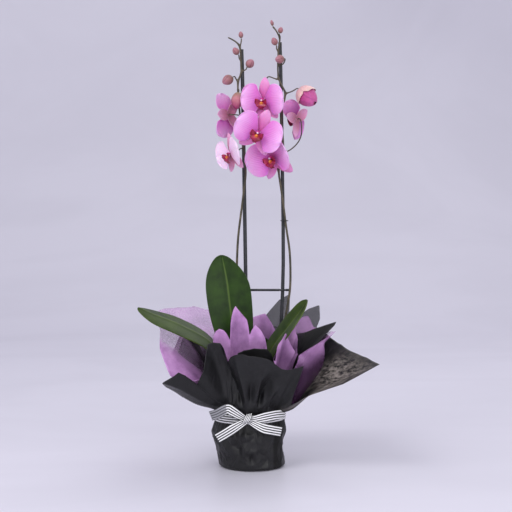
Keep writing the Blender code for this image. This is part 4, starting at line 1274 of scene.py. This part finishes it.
CUP_LEAVES = [(start, 82, 0.86, 1.97, 0.0) for start in (20, 140, 260)]
PALE_LEAVES = [(start, 62, 0.94, reach, 0.12)
               for start, reach in ((150, 1.15), (262, 1.00), (30, 1.25))]
opening_piece("flower_opening_cup", CUP_LEAVES, 20, cup_finish, ["flower_opening"])
opening_piece("flower_opening_sepals", PALE_LEAVES, 18, peach_finish, [])

# %% [markdown]
# ## Stalks, stakes, pot and bark
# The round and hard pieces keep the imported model's own shape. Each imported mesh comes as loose
# triangles, so a copy of it is merged first, and then the stalks, clips and crown are rounded a
# little. The stalks are brown-olive and a little waxy, the stakes are green-black coated wire,
# and the nursery pot is thin dark plastic. All of them are partly or fully hidden.

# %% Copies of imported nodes, merged and softened
SHARP_EDGE = math.radians(35)                # a sharper turn than this stays an edge


def copy_of(node, finish, slot, soften, levels):
    """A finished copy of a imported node, smoothed soften times and subdivided levels times."""
    bm = bmesh.new()
    source = bpy.data.objects[node]
    bm.from_mesh(source.data)
    bm.transform(source.matrix_world)
    bmesh.ops.remove_doubles(bm, verts=bm.verts, dist=2e-6)
    bmesh.ops.dissolve_degenerate(bm, dist=1e-6, edges=bm.edges)
    bmesh.ops.recalc_face_normals(bm, faces=bm.faces)
    for step in range(soften):
        bmesh.ops.smooth_vert(bm, verts=bm.verts, factor=0.4, use_axis_x=True, use_axis_y=True,
                              use_axis_z=True)
    made = piece(node + "_finished", bm, finish, slot, [node], levels=levels)
    made.data.set_sharp_from_angle(angle=SHARP_EDGE)


# %% Finishes
def plain_skin(name, low, high, roughness, scale, strength=0.3, distance=0.0004, **more):
    """Two tones in soft clouds, with the same clouds as a slight relief."""
    made, tree, shader = new_finish(name, roughness, **more)
    clouds = speckle(tree, own_place(tree), scale, 4.0)
    tone = ramp(tree, clouds, (0.34, low), (0.68, high))
    tree.links.new(tone, shader.inputs["Base Color"])
    bump(tree, shader, clouds, strength, distance)
    return made


stem_finish = plain_skin("stalk_brown_olive", paint(0.20, 0.19, 0.14), paint(0.36, 0.32, 0.25),
                         0.46, 90.0, Specular_IOR_Level=0.45)
stake_finish = plain_skin("stake_green_black", paint(0.10, 0.12, 0.12), paint(0.19, 0.19, 0.22),
                          0.40, 160.0, Specular_IOR_Level=0.5)
clip_finish = plain_skin("clip_black", paint(0.05, 0.05, 0.06), paint(0.11, 0.11, 0.12),
                         0.35, 200.0, Specular_IOR_Level=0.5)
pot_finish = plain_skin("pot_brown_plastic", paint(0.18, 0.14, 0.12), paint(0.25, 0.20, 0.17),
                        0.42, 60.0, strength=0.1)
crown_finish = plain_skin("crown_green", paint(0.22, 0.30, 0.12), paint(0.36, 0.42, 0.20),
                          0.50, 80.0)
bark_finish = plain_skin("bark_brown", paint(0.17, 0.10, 0.06), paint(0.42, 0.28, 0.18),
                         0.90, 140.0, strength=0.8, distance=0.002)

# %% Make the copies
for node, soften, finish, slot, levels in (
        ("flower_stem_left", 1, stem_finish, "stem", 1),
        ("flower_stem_right", 1, stem_finish, "stem", 1),
        ("stake_left", 0, stake_finish, "stake", 0), ("stake_right", 0, stake_finish, "stake", 0),
        ("cross_brace", 0, stake_finish, "stake", 0), ("clip_left", 0, clip_finish, "stake", 1),
        ("clip_right", 0, clip_finish, "stake", 1), ("nursery_pot", 0, pot_finish, "pot", 0),
        ("crown", 0, crown_finish, "crown", 1), ("bark_and_roots", 0, bark_finish, "bark", 0)):
    copy_of(node, finish, slot, soften, levels)

# %% Bark chips on top of the mix, spread evenly by the golden angle
MIX_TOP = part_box("bark_and_roots")[1].z
MIX_REACH = 0.0445
CHIPS = 150
CHIP_SIZE = (0.013, 0.008, 0.0045)
CHIP_BEVEL = 0.0007
GOLDEN = 2.39996                             # the golden angle in radians
chips = bmesh.new()
for index in range(CHIPS):
    made = bmesh.ops.create_cube(chips, size=1.0)["verts"]
    turn = GOLDEN * index
    reach = MIX_REACH * math.sqrt((index + 0.5) / CHIPS)
    size = 0.55 + 0.45 * noise.noise(Vector((index * 0.7, 2.0, 1.0)))
    squash = Matrix.Diagonal([side * size for side in CHIP_SIZE] + [1.0])
    tilt = Matrix.Rotation(turn * 1.7, 4, "Z") @ Matrix.Rotation(0.5 * math.sin(index), 4, "X")
    spot = Vector((reach * math.cos(turn), reach * math.sin(turn),
                   MIX_TOP + 0.0016 + 0.0012 * math.sin(index * 2.1)))
    bmesh.ops.transform(chips, matrix=Matrix.Translation(spot) @ tilt @ squash, verts=made)
bmesh.ops.bevel(chips, geom=chips.edges[:], offset=CHIP_BEVEL, offset_type="OFFSET", segments=1,
                affect="EDGES", profile=0.5, material=-1, clamp_overlap=True)
piece("bark_chips", chips, bark_finish, "bark")
